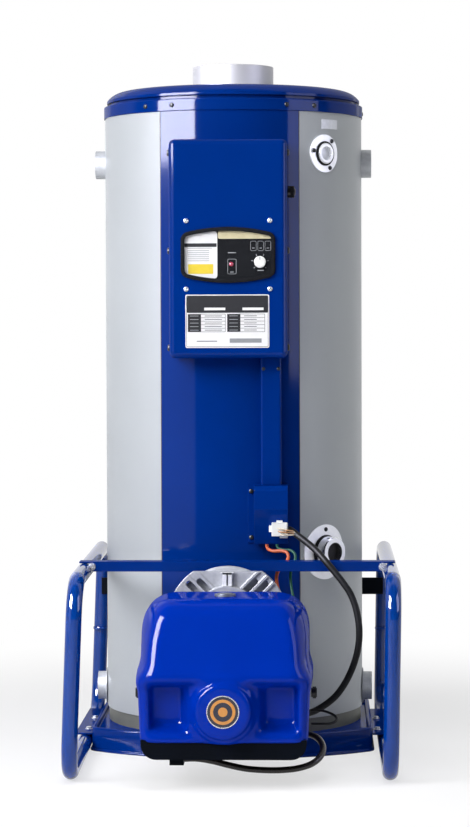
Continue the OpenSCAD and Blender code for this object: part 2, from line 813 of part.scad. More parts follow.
// Cast flange: a round plate cut flat, with diagonal slots between raised ribs
module burner_flange() {
    slot_end = 66;
    slot_stagger = [0, 10];
    slot_pitch = flange_slot_w + flange_rib_w;
    module outline() {
        intersection() {
            circle(flange_r);
            square([2 * flange_r, 2 * flange_rise], center = true);
        }
    }
    // Lays a shape along a diagonal, x from the slots' outer ends towards the hub
    module diagonals() {
        for (m = [0, 1], n = [0, 1]) mirror([m, 0]) mirror([0, n])
            translate([slot_end, slot_end]) rotate(-135) children();
    }
    color(silver) facing_front(0, flange_back, burner_z) {
        difference() {
            union() {
                linear_extrude(flange_t) outline();
                translate([0, 0, flange_t - over]) linear_extrude(flange_rib_h + over) intersection() {
                    outline();
                    diagonals() for (i = [0 : 2])
                        translate([-flange_r / 2, (0.5 - i) * slot_pitch - flange_rib_w / 2])
                        square([flange_r, flange_rib_w]);
                }
            }
            translate([0, 0, -over]) linear_extrude(flange_t + flange_rib_h + 2 * over) diagonals()
                for (i = [0, 1]) translate([slot_stagger[i], -i * slot_pitch]) {
                    translate([0, -flange_slot_w / 2]) square([flange_slot_len, flange_slot_w]);
                    for (x = [0, flange_slot_len]) translate([x, 0]) circle(d = flange_slot_w);
                }
        }
        cylinder(d = hub_d, h = flange_t + hub_len - fit);
    }
}

// Pinch bolt between two lugs on the flange's upper edge
module clamp_bolt() {
    lug_w = 7;
    lug_depth = 10;
    lug_drop = 5;
    gap = 2.4;
    foot_t = 3;
    cap = [22, 5, 1.6];
    lug_h = flange_rise - hub_d / 2 - fit;
    color(silver) translate([0, -flange_front - fit, flange_top_z]) {
        for (s = [-1, 1]) translate([s * (gap + lug_w) / 2 - lug_w / 2, -lug_depth, -lug_h])
            cube([lug_w, lug_depth, lug_h - lug_drop]);
        translate([0, -lug_depth / 2, -lug_h]) cylinder(d = gap + 2 * fit, h = lug_h);
        translate([-gap / 2 - lug_w, -lug_depth, -lug_h]) cube([gap + 2 * lug_w, lug_depth, foot_t]);
        translate([-cap[0] / 2, -lug_depth / 2 - cap[1] / 2, -cap[2]]) cube(cap);
    }
}

// Black burner housing under the hood, with a notch for the hose and an oil inlet block
module burner_base() {
    r = base_edge_r;
    side_inset = 6.5;
    front_inset = 18;
    back_inset = 10;
    notch_x = 115;
    notch_depth = 72;
    inlet = [24, 30, 24];
    inlet_right_x = -70;
    inlet_setback = 82;
    inlet_drop = 22;
    half_w = hood_half_w - side_inset;
    back = hood_back + back_inset;
    depth = crease_front - front_inset - back;
    seat_z = hood_base_z - fit;
    color(black) difference() {
        union() {
            hull() for (s = [-1, 1]) {
                facing_front(s * (half_w - r), back, burner_base_z + r) cylinder(r = r, h = depth, $fn = 32);
                translate([s * (half_w - r) - r, -back - depth, seat_z - over]) cube([2 * r, depth, over]);
            }
            translate([inlet_right_x - inlet[0], -hood_back - inlet_setback - inlet[1],
                burner_base_z - inlet_drop]) cube(inlet);
        }
        translate([notch_x, -hood_back - notch_depth, burner_base_z - over])
            cube([hood_half_w, hood_back, hood_base_z]);
        translate([-hood_half_w, -crease_front, seat_z]) cube([2 * hood_half_w, crease_front, 3 * r]);
    }
}

// Rounded corner of the moulding
module knuckle(x, y, z, r) { translate([x, y, z]) sphere(r, $fn = corner_fn); }

// Moulded hood: a raked front panel with bevelled sides over a squarer lower part
module burner_hood() {
    r = hood_edge_r;
    p = panel_edge_r;
    b = hood_brow_r;
    q = hood_shoulder_r;
    bevel_depth_top = 46;
    bevel_depth_crease = 34;
    panel_top_half_w = hood_half_w - bevel_top;
    panel_crease_half_w = hood_half_w - bevel_crease;
    upper_inset = 2;
    side_x = hood_half_w - upper_inset;
    shoulder_drop = 8;
    flare = 10;
    flare_back = 14;
    flare_t = 8;
    chamfer = 4;
    module boss_ring(back, d1, d2, h) {
        facing_front(0, boss_front - back - h, boss_z) cylinder(d1 = d2, d2 = d1, h = h);
    }
    module pocket() {
        x0 = pocket_inner_x;
        x1 = hood_half_w - pocket_margin;
        sill = 18;
        brow = 9;
        c = 9;
        draft = 7;
        z0 = hood_base_z + sill;
        z1 = hood_crease_z - brow;
        hull() for (x = [x0 + c, x1 - c], z = [z0 + c, z1 - c]) {
            facing_front(x, lower_front, z) cylinder(r = c, h = over, $fn = corner_fn);
            facing_front(x + sign(x0 + x1 - 2 * x) * draft, lower_front - pocket_depth,
                z + sign(z0 + z1 - 2 * z) * draft) cylinder(r = c, h = over, $fn = corner_fn);
        }
    }
    color(hood_blue) difference() {
        union() {
            hull() for (s = [-1, 1]) {
                knuckle(s * (side_x - q), -hood_back - q, hood_top_z - q - shoulder_drop / 2, q);
                knuckle(s * (panel_top_half_w - 2 * p), -hood_back - 2 * r, hood_top_z - p, p);
                knuckle(s * (panel_top_half_w - b), -panel_top_front + b, hood_top_z - b, b);
                knuckle(s * (side_x - q), -panel_top_front + bevel_depth_top,
                    hood_top_z - q - shoulder_drop, q);
                knuckle(s * (panel_crease_half_w - p), -crease_front + p, hood_crease_z + p, p);
                knuckle(s * (side_x - p), -crease_front + bevel_depth_crease, hood_crease_z + p, p);
                knuckle(s * (side_x - p), -hood_back - r, hood_crease_z - p, p);
            }
            hull() for (s = [-1, 1], y = [-lower_front + r, -hood_back - r]) {
                knuckle(s * (hood_half_w - r), y, hood_crease_z - r, r);
                translate([s * (hood_half_w - r), y, hood_base_z]) cylinder(r = r, h = r, $fn = corner_fn);
            }
            boss_ring(0, boss_d - 2 * chamfer, boss_d, chamfer);
            boss_ring(chamfer - over, boss_d, boss_d, flare_back);
            boss_ring(flare_back, boss_d, boss_d + 2 * flare, flare_t);
            boss_ring(flare_back + flare_t - over, boss_d + 2 * flare, boss_d + 2 * flare, chamfer);
        }
        for (m = [0, 1]) mirror([m, 0, 0]) pocket();
        boss_ring(-over, badge_d + 2 * fit, badge_d + 2 * fit, badge_sink + over);
    }
}

module hood_badge() {
    badge_t = 2.4;
    lip = 1;
    color("#141A33") facing_front(0, boss_front - badge_sink + fit, boss_z) rotate_extrude() {
        square([badge_d / 2, badge_t - lip]);
        square([badge_d / 2 - lip, badge_t]);
    }
}

module hood_clip() {
    disc_h = 3;
    cap_d = clip_d - 10;
    cap_h = 4.5;
    color("#44484E") translate([0, -hood_back - clip_setback, hood_top_z + fit]) {
        cylinder(d = clip_d, h = disc_h);
        cylinder(d = cap_d, h = cap_h);
    }
}

module hood_knobs() {
    collar_h = 3;
    grip_h = 8;
    cap_h = 10;
    step = 1.5;
    color(black) for (s = [-1, 1])
        translate([s * (hood_half_w + fit), -hood_back - knob_setback, hood_base_z + knob_rise])
        rotate([0, s * 90, 0]) rotate_extrude() {
            square([knob_d / 2 - 2 * step, cap_h]);
            square([knob_d / 2 - step, cap_h]);
            translate([0, collar_h]) square([knob_d / 2, grip_h - collar_h]);
        }
}

// GUARD

// Closed loop of one bent tube, built upright in the YZ plane about its bottom run
module tube_loop() {
    r = tube_bend_r;
    y0 = -loop_front;
    y1 = loop_back;
    z1 = loop_rise;
    module bend(y, z, turn) {
        translate([0, y, z]) rotate([turn, 0, 0]) rotate([90, 0, 90]) rotate_extrude(angle = 90)
            translate([r, 0]) circle(tube_r);
    }
    bend(y1 - r, z1 - r, 0);
    bend(y0 + r, z1 - r, 90);
    bend(y0 + r, r, 180);
    bend(y1 - r, r, 270);
    for (z = [0, z1]) translate([0, y0 + r, z]) rotate([-90, 0, 0]) cylinder(r = tube_r, h = y1 - y0 - 2 * r);
    for (y = [y0, y1]) translate([0, y, r]) cylinder(r = tube_r, h = z1 - 2 * r);
}
module guard_loop_left() {
    color(royal_blue) translate([left_loop_x, 0, tube_r]) rotate([0, left_lean, left_toe]) tube_loop();
}
module guard_loop_right() {
    color(royal_blue) translate([right_loop_x, 0, tube_r]) rotate([0, right_lean, 0]) tube_loop();
}

module guard_crossbar() {
    end = 8;
    face_gap = 1.5;
    x0 = left_bar_x - end;
    x1 = right_top_x + end;
    face_x0 = left_bar_x + tube_r + face_gap;
    face_x1 = right_top_x - tube_r - face_gap;
    color(royal_blue) {
        translate([x0, -bar_front, bar_base_z]) cube([x1 - x0, bar_depth, bar_t]);
        translate([face_x0, -bar_front, bar_base_z + bar_t - bar_h]) cube([face_x1 - face_x0, bar_t, bar_h]);
    }
}

module body_brackets() {
    h = body_bracket_h;
    z = loop_top_z - tube_bend_r - h / 2 - over;
    y = loop_back - tube_r - fit - body_bracket_t;
    left_x = left_loop_x + (z - tube_r) * sin(left_lean) - loop_back * sin(left_toe);
    reach = [left_x, right_loop_x + (z - tube_r) * sin(right_lean)];
    color(black) difference() {
        for (x = reach) translate([min(x, 0), y, z - h / 2]) cube([abs(x), body_bracket_t, h]);
        translate([0, 0, z - h]) cylinder(r = jacket_r + fit, h = 2 * h);
    }
}

module tray_brackets() {
    inner = tray_half_w + fit;
    back = loop_back - tube_bend_r - tray_bracket_gap;
    outer = [-left_loop_x, right_loop_x];
    color(royal_blue) for (side = [0, 1]) mirror([1 - side, 0, 0])
        translate([inner, -tray_bracket_front, tube_d + fit])
            cube([outer[side] + tube_r - inner, tray_bracket_front + back, bar_t]);
}

// CORDS

module burner_cable() { color(black) cord(cable_route, cable_d, [0.2, 0.6, 1], 10); }
module oil_hose() { color(black) cord(hose_route, hose_d, [0.1, 1, 0.4], 10); }
module ignition_wire() { color("#C8451E") cord(ignition_route, ignition_d, [1, 0.2, 0], 8); }
module earth_wire() { color("#2E7A4A") cord(earth_route, earth_d, [1, 0.2, 0], 8); }
module sensor_lead() { color(black) cord(sensor_route, sensor_d, [0, 0.3, 1], 8); }

base_tray();
body_foot();
boiler_vessel();
outer_jacket();
front_panel();
top_ring();
top_lid();
flue_collar();
supply_coupling_left();
supply_coupling_right();
return_coupling_left();
return_coupling_right();
upper_port_plate();
upper_port_nipple();
lower_port_plate();
lower_port_nozzle();
control_box();
control_bezel();
control_plate();
temperature_dial();
indicator_lamp();
side_grommet();
cable_duct();
junction_box();
plug_connector();
burner_neck();
burner_disc();
burner_flange();
clamp_bolt();
burner_base();
burner_hood();
hood_badge();
hood_clip();
hood_knobs();
guard_loop_left();
guard_loop_right();
guard_crossbar();
body_brackets();
tray_brackets();
burner_cable();
oil_hose();
ignition_wire();
earth_wire();
sensor_lead();
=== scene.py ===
"""Looks, small fittings, cords and studio for an upright oil-fired boiler.

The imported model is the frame: metres, the boiler's axis on Z, its front toward -Y, its right side toward +X.
"""

import logging
import math
from dataclasses import dataclass, field, replace
from enum import Enum
from typing import Any, Sequence

import bmesh
import bpy
import numpy as np
import openvdb
from mathutils import Matrix, Vector


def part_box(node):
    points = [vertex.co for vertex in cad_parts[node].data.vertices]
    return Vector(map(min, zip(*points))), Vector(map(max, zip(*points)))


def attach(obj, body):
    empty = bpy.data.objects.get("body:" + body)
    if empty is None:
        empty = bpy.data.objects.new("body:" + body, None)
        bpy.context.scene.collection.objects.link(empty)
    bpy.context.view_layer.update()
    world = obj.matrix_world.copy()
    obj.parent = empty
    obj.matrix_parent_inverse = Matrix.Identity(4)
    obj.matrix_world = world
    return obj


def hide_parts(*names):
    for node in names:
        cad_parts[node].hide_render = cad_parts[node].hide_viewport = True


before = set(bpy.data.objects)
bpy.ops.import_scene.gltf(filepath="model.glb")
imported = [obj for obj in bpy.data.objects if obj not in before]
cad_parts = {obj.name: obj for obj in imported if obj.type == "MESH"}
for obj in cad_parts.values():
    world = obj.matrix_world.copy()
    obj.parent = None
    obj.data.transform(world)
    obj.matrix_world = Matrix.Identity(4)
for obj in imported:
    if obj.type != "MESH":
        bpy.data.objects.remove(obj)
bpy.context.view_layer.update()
LOG = logging.getLogger("boiler")
MM = 0.001
# The part of a noise texture's range that most of its values fall in
NOISE_SPAN = (0.3, 0.7)
# Edges bent more than this many degrees stay sharp
CREASE = 32.0
# Lengths under this many metres count as nothing
TINY = 1e-6
Loop = list[Vector]


class Body(Enum):
    """The bodies that a piece can ride on."""

    BOILER = "boiler"
    DIAL = "dial"


class Grain(Enum):
    """How a surface's fine relief is stretched along X, Y and Z."""

    EVEN = (1.0, 1.0, 1.0)
    TURNED = (0.02, 0.02, 1.0)


class Head(Enum):
    """The kinds of fastener head, each with its height as a share of its radius."""

    PAN = 0.62
    HEX = 0.85


def linear(colour: str) -> tuple[float, float, float, float]:
    """Turns an sRGB hex colour into linear RGBA."""
    shares = (int(colour[i:i + 2], 16) / 255 for i in (1, 3, 5))
    return (*(c / 12.92 if c <= 0.04045 else ((c + 0.055) / 1.055) ** 2.4 for c in shares), 1.0)


def add(tree: bpy.types.NodeTree, kind: str, inputs: dict[str | int, Any] | None = None,
        **settings: Any) -> bpy.types.Node:
    """Adds a node with its settings, values and links.

    Args:
        tree: The tree that takes the node.
        kind: The node's type name.
        inputs: For each input, a socket to link or a value to set.
        settings: The node's own properties.

    Returns:
        The new node.
    """
    node = tree.nodes.new(kind)
    for key, value in settings.items():
        setattr(node, key, value)
    for key, value in (inputs or {}).items():
        if isinstance(value, bpy.types.NodeSocket):
            tree.links.new(value, node.inputs[key])
        else:
            node.inputs[key].default_value = value
    return node


@dataclass(frozen=True)
class Finish:
    """One real material: its colour, its gloss and the relief that its making leaves.

    A patch is a slow change of tone, the grain is the fine relief, a wave is the slow swell of sheet metal, and an
    edge is the radius that paint or moulding gives a sharp corner.
    """

    name: str
    slot: str
    colour: str
    tint: str
    patch_mm: float = 60.0
    patch_share: float = 0.5
    metallic: float = 0.0
    roughness: float = 0.4
    rough_swing: float = 0.05
    grain_mm: float = 1.5
    grain_depth_mm: float = 0.01
    grain: Grain = Grain.EVEN
    wave_mm: float = 0.0
    wave_depth_mm: float = 0.0
    coat: float = 0.0
    coat_roughness: float = 0.04
    specular: float = 0.5
    edge_mm: float = 0.0
    glow: float = 0.0

    def material(self) -> bpy.types.Material:
        """Returns the finish's material, made on its first use."""
        return bpy.data.materials.get(self.name) or self._mix()

    def _mix(self) -> bpy.types.Material:
        """Builds the material.

        Returns:
            A node material on Object coordinates.
        """
        material = bpy.data.materials.new(self.name)
        material.use_nodes = True
        tree = material.node_tree
        tree.nodes.clear()
        low, high = NOISE_SPAN
        place = add(tree, "ShaderNodeTexCoord").outputs["Object"]
        patches = add(tree, "ShaderNodeTexNoise",
                      {"Vector": place, "Scale": 1 / (self.patch_mm * MM), "Detail": 4.0})
        share = add(tree, "ShaderNodeMapRange", {
            "Value": patches.outputs["Fac"], "From Min": low, "From Max": high, "To Max": self.patch_share})
        tone = add(tree, "ShaderNodeMix", {
            0: share.outputs["Result"], 6: linear(self.colour), 7: linear(self.tint)}, data_type="RGBA")
        stretched = add(tree, "ShaderNodeMapping", {"Vector": place, "Scale": self.grain.value})
        grain = add(tree, "ShaderNodeTexNoise", {
            "Vector": stretched.outputs["Vector"], "Scale": 1 / (self.grain_mm * MM), "Detail": 2.0})
        gloss = add(tree, "ShaderNodeMapRange", {
            "Value": grain.outputs["Fac"], "From Min": low, "From Max": high,
            "To Min": self.roughness - self.rough_swing, "To Max": self.roughness + self.rough_swing})
        relief = add(tree, "ShaderNodeBump", {
            "Height": grain.outputs["Fac"], "Strength": 1.0, "Distance": self.grain_depth_mm * MM})
        shader = add(tree, "ShaderNodeBsdfPrincipled", {
            "Base Color": tone.outputs[2], "Metallic": self.metallic, "Roughness": gloss.outputs["Result"],
            "Normal": relief.outputs["Normal"], "Coat Weight": self.coat,
            "Coat Roughness": self.coat_roughness, "Specular IOR Level": self.specular})
        slow = None
        if self.edge_mm:
            slow = add(tree, "ShaderNodeBevel", {"Radius": self.edge_mm * MM}, samples=6)
        if self.wave_mm:
            swell = add(tree, "ShaderNodeTexNoise", {
                "Vector": place, "Scale": 1 / (self.wave_mm * MM), "Detail": 1.0})
            wave = add(tree, "ShaderNodeBump", {
                "Height": swell.outputs["Fac"], "Strength": 1.0, "Distance": self.wave_depth_mm * MM})
            if slow:
                tree.links.new(slow.outputs["Normal"], wave.inputs["Normal"])
            slow = wave
        if slow:
            tree.links.new(slow.outputs["Normal"], relief.inputs["Normal"])
            tree.links.new(slow.outputs["Normal"], shader.inputs["Coat Normal"])
        if self.glow:
            shader.inputs["Emission Color"].default_value = linear(self.colour)
            shader.inputs["Emission Strength"].default_value = self.glow
        add(tree, "ShaderNodeOutputMaterial", {"Surface": shader.outputs["BSDF"]})
        return material


# Stove enamel on sheet steel: a deep gloss with a little orange peel and the slow swell of rolled sheet
BLUE_ENAMEL = Finish("stove_enamel_royal_blue", "blue_enamel", "#002C7C", "#002772", 180, 0.6,
                     roughness=0.22, grain_mm=3, grain_depth_mm=0.012, wave_mm=160, wave_depth_mm=0.5,
                     coat=0.24, coat_roughness=0.08, specular=0.0, edge_mm=2.2)
# The same enamel in grey, nearer satin, so lights spread into wide soft bands
GREY_ENAMEL = Finish("stove_enamel_grey", "grey_enamel", "#AEB3B6", "#A7ACAF", 180, 0.6,
                     roughness=0.46, grain_mm=3, grain_depth_mm=0.012, wave_mm=160, wave_depth_mm=0.4,
                     specular=0.2)
# Powder coat on bent tube: glossy, with a fine pebble
TUBE_ENAMEL = Finish("powder_coat_royal_blue", "blue_enamel", "#00388A", "#00317E", 60, 0.5,
                     roughness=0.2, grain_mm=1.6, grain_depth_mm=0.01, coat=0.9, coat_roughness=0.06, specular=0.0)
# Dull primer on the band below the jacket, which lies in shade
FOOT_PAINT = Finish("primer_olive_grey", "foot_paint", "#62645A", "#53554C", 40, 0.7, roughness=0.55)
# Bare boiler plate, seen only inside the sockets, and the dark disc deep in the lower port's bore, which is painted
# shade
PLATE_STEEL_AND_BORE_SHADE = Finish("mild_steel_plate_and_bore_shade", "vessel_steel", "#2C2B2A", "#1E1C1B", 30, 0.8, 0.6, 0.6)
# Stainless flue stub: brushed round its axis, so its light spreads up and down
FLUE_STEEL = Finish("stainless_steel_brushed", "flue_steel", "#BFBFC1", "#B3B3B5", 50, 0.5, 0.22, 0.5, 0.05,
                    0.9, 0.008, Grain.TURNED)
# Galvanised couplings: a cool grey with soft spangle
PIPE_ZINC = Finish("galvanised_steel", "pipe_steel", "#BFC2C5", "#A9ADB0", 9, 0.8, 0.35, 0.45, 0.08, 2.0, 0.02)
# Electroplated fasteners: bright, a little blue
BRIGHT_ZINC = Finish("zinc_plated_steel", "pipe_steel", "#D8DADC", "#BFC3C6", 5, 0.6, 0.7, 0.28, 0.06)
# Turned nipple and clamp bolt: a pale plated skin, a little soft
NOZZLE_ZINC = Finish("zinc_plated_nozzle", "pipe_steel", "#F4F5F6", "#E8EAEC", 8, 0.5, 0.12, 0.3, 0.06, edge_mm=1.2)
# Mirror plating on the lower nozzle: dark where the room is dark, with a few bright lines
MIRROR_PLATE = Finish("mirror_plated_steel", "pipe_steel", "#DADCDF", "#C6C9CD", 8, 0.5, 1.0, 0.14, 0.04)
# Port plates and the lips of the pipe ends: pale plating with a soft sheen
PORT_ZINC = Finish("zinc_plated_plate", "white_plastic", "#F2F3F4", "#E6E8EA", 8, 0.5, 0.42, 0.5, 0.06, edge_mm=1.2)
# Blackened screws: dark with a dry sheen
BLACK_OXIDE = Finish("black_oxide_steel", "black_steel", "#16181B", "#22252A", 5, 0.6, 0.3, 0.4)
# Moulded bezel, grommet and knobs: a fine satin
BLACK_ABS = Finish("moulded_abs_black", "black_plastic", "#0D0E11", "#15161A", 30, 0.5,
                   roughness=0.26, grain_mm=0.9, grain_depth_mm=0.006)
# Painted burner base, neck and body brackets: near black, half gloss
BLACK_PAINT = Finish("satin_paint_black", "black_steel", "#02060E", "#040A15", 40, 0.6, roughness=0.42,
                     grain_mm=1.4, grain_depth_mm=0.012, specular=0.05)
# Moulded dial and plug: a clean white
WHITE_NYLON = Finish("moulded_nylon_white", "white_plastic", "#E9EAE6", "#DADBD6", 25, 0.5,
                     roughness=0.36, grain_mm=0.8, grain_depth_mm=0.006)
# Lit lamp lens: a deep clear red that glows a little
RED_LENS = Finish("acrylic_lens_red", "lamp_red", "#B03A52", "#8E2439", 6, 0.6, roughness=0.12, coat=1.0, glow=0.25)
# Black rubber sheath: soft sheen, slightly dusty; also the dark ring at each port pipe's root
RUBBER = Finish("rubber_sheath_black", "black_rubber", "#101113", "#141415", 14, 0.6, roughness=0.5,
                grain_mm=0.7, grain_depth_mm=0.01, specular=0.15)
# Oil-proof hose: brown black with a wet sheen
OIL_RUBBER = Finish("nitrile_hose_brown_black", "black_rubber", "#17110F", "#231B17", 12, 0.6, roughness=0.3)
# Sand-cast flange: pale metal with a pebbled skin
CAST_ALUMINIUM = Finish("sand_cast_aluminium", "cast_aluminium", "#A3A5A8", "#8B8E92", 7, 0.6, 0.3, 0.5, 0.08,
                        1.1, 0.05, edge_mm=1.4)
# Injection-moulded hood: brighter than the enamel and as glossy
HOOD_ABS = Finish("moulded_abs_blue", "hood_plastic", "#002A9A", "#00258F", 120, 0.5, roughness=0.2,
                  grain_mm=2.4, grain_depth_mm=0.005, coat=0.2, coat_roughness=0.05, specular=0.0)
BADGE_NAVY = Finish("printed_film_navy", "badge_navy", "#14182B", "#1B2036", 8, 0.5, roughness=0.3, coat=0.4)
BADGE_AMBER = Finish("printed_film_amber", "badge_navy", "#C98A3C", "#B97828", 5, 0.6, roughness=0.32, coat=0.4)
CLIP_STEEL = Finish("spring_steel_grey", "clip_grey", "#7B8086", "#686D73", 6, 0.6, 0.6, 0.4)
ORANGE_PVC = Finish("pvc_insulation_orange", "orange_wire", "#D8683A", "#C95A2C", 9, 0.5, roughness=0.5, specular=0.15)
GREEN_PVC = Finish("pvc_insulation_green", "green_wire", "#0F5A45", "#0B4B3A", 9, 0.5, roughness=0.5, specular=0.15)
CREAM_PVC = Finish("pvc_insulation_cream", "white_plastic", "#E3DAC4", "#D3C6A8", 5, 0.6, roughness=0.38)
TAN_PVC = Finish("pvc_insulation_tan", "orange_wire", "#B98A5A", "#A57745", 5, 0.6, roughness=0.38)
# Printed matter: matt film and ink with a faint mottle
CARD = Finish("printed_card_white", "white_plastic", "#E8E8E8", "#DDDEE0", 12, 0.5, roughness=0.4, coat=0.2)
CREAM_FILM = Finish("printed_film_cream", "white_plastic", "#D6CDA6", "#C2B88E", 14, 0.7, roughness=0.35, coat=0.3)
YELLOW_FILM = Finish("printed_film_yellow", "white_plastic", "#E5CC2E", "#D8BC24", 8, 0.5, roughness=0.35)
INK = Finish("printing_ink_black", "black_plastic", "#17181B", "#202226", 8, 0.5, roughness=0.35)
GREY_INK = Finish("printing_ink_grey", "black_plastic", "#8A8D90", "#7C8084", 4, 0.5, roughness=0.4)
PALE_INK = Finish("printing_ink_pale", "white_plastic", "#A9ACB0", "#989CA0", 4, 0.5, roughness=0.4)
GLOSS_PANEL = Finish("acrylic_panel_black", "black_plastic", "#191B1E", "#222427", 20, 0.6, roughness=0.18, coat=0.5)
FOIL = Finish("foil_label_silver", "pipe_steel", "#C6C9CC", "#B4B8BB", 6, 0.6, 0.25, 0.42)


def circle(radius: float, z: float, sides: int = 40) -> Loop:
    """Returns a loop of points round the local Z axis."""
    return [Vector((radius * math.cos(a), radius * math.sin(a), z))
            for a in (math.tau * i / sides for i in range(sides))]


def rounded_rectangle(width: float, height: float, corner: float, z: float, steps: int = 6) -> Loop:
    """Makes the loop of a rectangle with round corners.

    Args:
        width: Size along X.
        height: Size along Y.
        corner: Radius of the corners.
        z: Height of the loop.
        steps: Chords in each corner.

    Returns:
        The points, anticlockwise about Z.
    """
    centres = [(width / 2 - corner, height / 2 - corner, 0), (corner - width / 2, height / 2 - corner, 90),
               (corner - width / 2, corner - height / 2, 180), (width / 2 - corner, corner - height / 2, 270)]
    return [Vector((x + corner * math.cos(a), y + corner * math.sin(a), z))
            for x, y, start in centres
            for a in (math.radians(start + 90 * i / steps) for i in range(steps + 1))]


def toward(bearing: float, x: float, y: float, z: float) -> Matrix:
    """Places a local frame whose Z looks outward.

    Args:
        bearing: Degrees from the front toward the right, as seen from above.
        x: Place of the origin.
        y: Place of the origin.
        z: Place of the origin.

    Returns:
        A matrix whose local Y is up.
    """
    a = math.radians(bearing)
    axes = Matrix(((math.cos(a), 0, math.sin(a)), (math.sin(a), 0, -math.cos(a)), (0, 1, 0)))
    return Matrix.Translation((x, y, z)) @ axes.to_4x4()


def loft(loops: Sequence[Loop], place: Matrix = Matrix.Identity(4), capped: bool = True,
         crease: float = CREASE) -> bpy.types.Mesh:
    """Skins closed loops of equal count into a mesh.

    Args:
        loops: The loops in order.
        place: Where the local frame goes.
        capped: Closes both ends, and otherwise joins the last loop to the first.
        crease: Edges bent more than this many degrees stay sharp.

    Returns:
        The mesh, with its faces outward.
    """
    form = bmesh.new()
    rings = [[form.verts.new(place @ p) for p in loop] for loop in loops]
    pairs = list(zip(rings, rings[1:])) + ([] if capped else [(rings[-1], rings[0])])
    for low, high in pairs:
        for i in range(len(low)):
            form.faces.new((low[i - 1], low[i], high[i], high[i - 1]))
    if capped:
        form.faces.new(rings[0])
        form.faces.new(rings[-1])
    bmesh.ops.remove_doubles(form, verts=form.verts, dist=TINY)
    return settle(form, crease)


def settle(form: bmesh.types.BMesh, crease: float = CREASE) -> bpy.types.Mesh:
    """Turns a form's faces outward and makes it a mesh.

    Args:
        form: The form, which is freed.
        crease: Edges bent more than this many degrees stay sharp.

    Returns:
        The mesh, smooth apart from its sharp edges.
    """
    bmesh.ops.dissolve_degenerate(form, edges=form.edges, dist=1e-7)
    bmesh.ops.recalc_face_normals(form, faces=form.faces)
    for face in form.faces:
        face.smooth = True
    for edge in form.edges:
        edge.smooth = not edge.is_manifold or edge.calc_face_angle(0.0) < math.radians(crease)
    mesh = bpy.data.meshes.new("form")
    form.to_mesh(mesh)
    form.free()
    return mesh


def joined(meshes: Sequence[bpy.types.Mesh]) -> bpy.types.Mesh:
    """Joins meshes that share a finish, and drops the originals."""
    form = bmesh.new()
    for mesh in meshes:
        form.from_mesh(mesh)
        bpy.data.meshes.remove(mesh)
    whole = bpy.data.meshes.new("form")
    form.to_mesh(whole)
    form.free()
    return whole


def piece(name: str, mesh: bpy.types.Mesh, finish: Finish, *stands_for: str,
          body: Body = Body.BOILER) -> bpy.types.Object:
    """Puts a dressed mesh on a body.

    Args:
        name: The piece's name.
        mesh: Its mesh, in the frame's place.
        finish: Its finish.
        stands_for: CAD nodes that it replaces.
        body: The body it rides on.

    Returns:
        The new object.
    """
    mesh.name = name
    mesh.materials.clear()
    mesh.materials.append(finish.material())
    made = bpy.data.objects.new(name, mesh)
    bpy.context.scene.collection.objects.link(made)
    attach(made, body.value)
    if stands_for:
        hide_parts(*stands_for)
    LOG.info("piece %s: %d faces", name, len(mesh.polygons))
    return made


def dress(finish: Finish, *nodes: str) -> None:
    """Gives CAD nodes a finish and leaves their meshes alone."""
    for node in nodes:
        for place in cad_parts[node].material_slots:
            place.material = finish.material()
        LOG.info("node %s: %s", node, finish.name)


def corners(node: str) -> np.ndarray:
    """Returns a CAD node's vertices as rows of metres."""
    return np.array([v.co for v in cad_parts[node].data.vertices])


def tube(points: Sequence[Vector], radius: float, sides: int = 12) -> bpy.types.Mesh:
    """Sweeps a round section along a line of points.

    Args:
        points: The centreline.
        radius: The tube's radius.
        sides: Chords round the section.

    Returns:
        The closed mesh.
    """
    turn = (points[1] - points[0]).to_track_quat("Z", "Y")
    loops = []
    for i, point in enumerate(points):
        ahead = points[min(i + 1, len(points) - 1)] - points[max(i - 1, 0)]
        turn = (turn @ Vector((0, 0, 1))).rotation_difference(ahead) @ turn
        loops.append([point + turn @ p for p in circle(radius, 0, sides)])
    return loft(loops)


def smooth_line(knots: Sequence[Vector], steps: int = 8) -> Loop:
    """Threads a smooth line through knots.

    Args:
        knots: Points on the line.
        steps: Chords between two knots.

    Returns:
        The line's points, with every knot among them.
    """
    ends = [2 * knots[0] - knots[1], *knots, 2 * knots[-1] - knots[-2]]
    line = []
    for a, b, c, d in zip(ends, ends[1:], ends[2:], ends[3:]):
        for i in range(steps):
            t = i / steps
            line.append(0.5 * (2 * b + (c - a) * t + (2 * a - 5 * b + 4 * c - d) * t ** 2
                               + (3 * b - a - 3 * c + d) * t ** 3))
    return [*line, knots[-1].copy()]


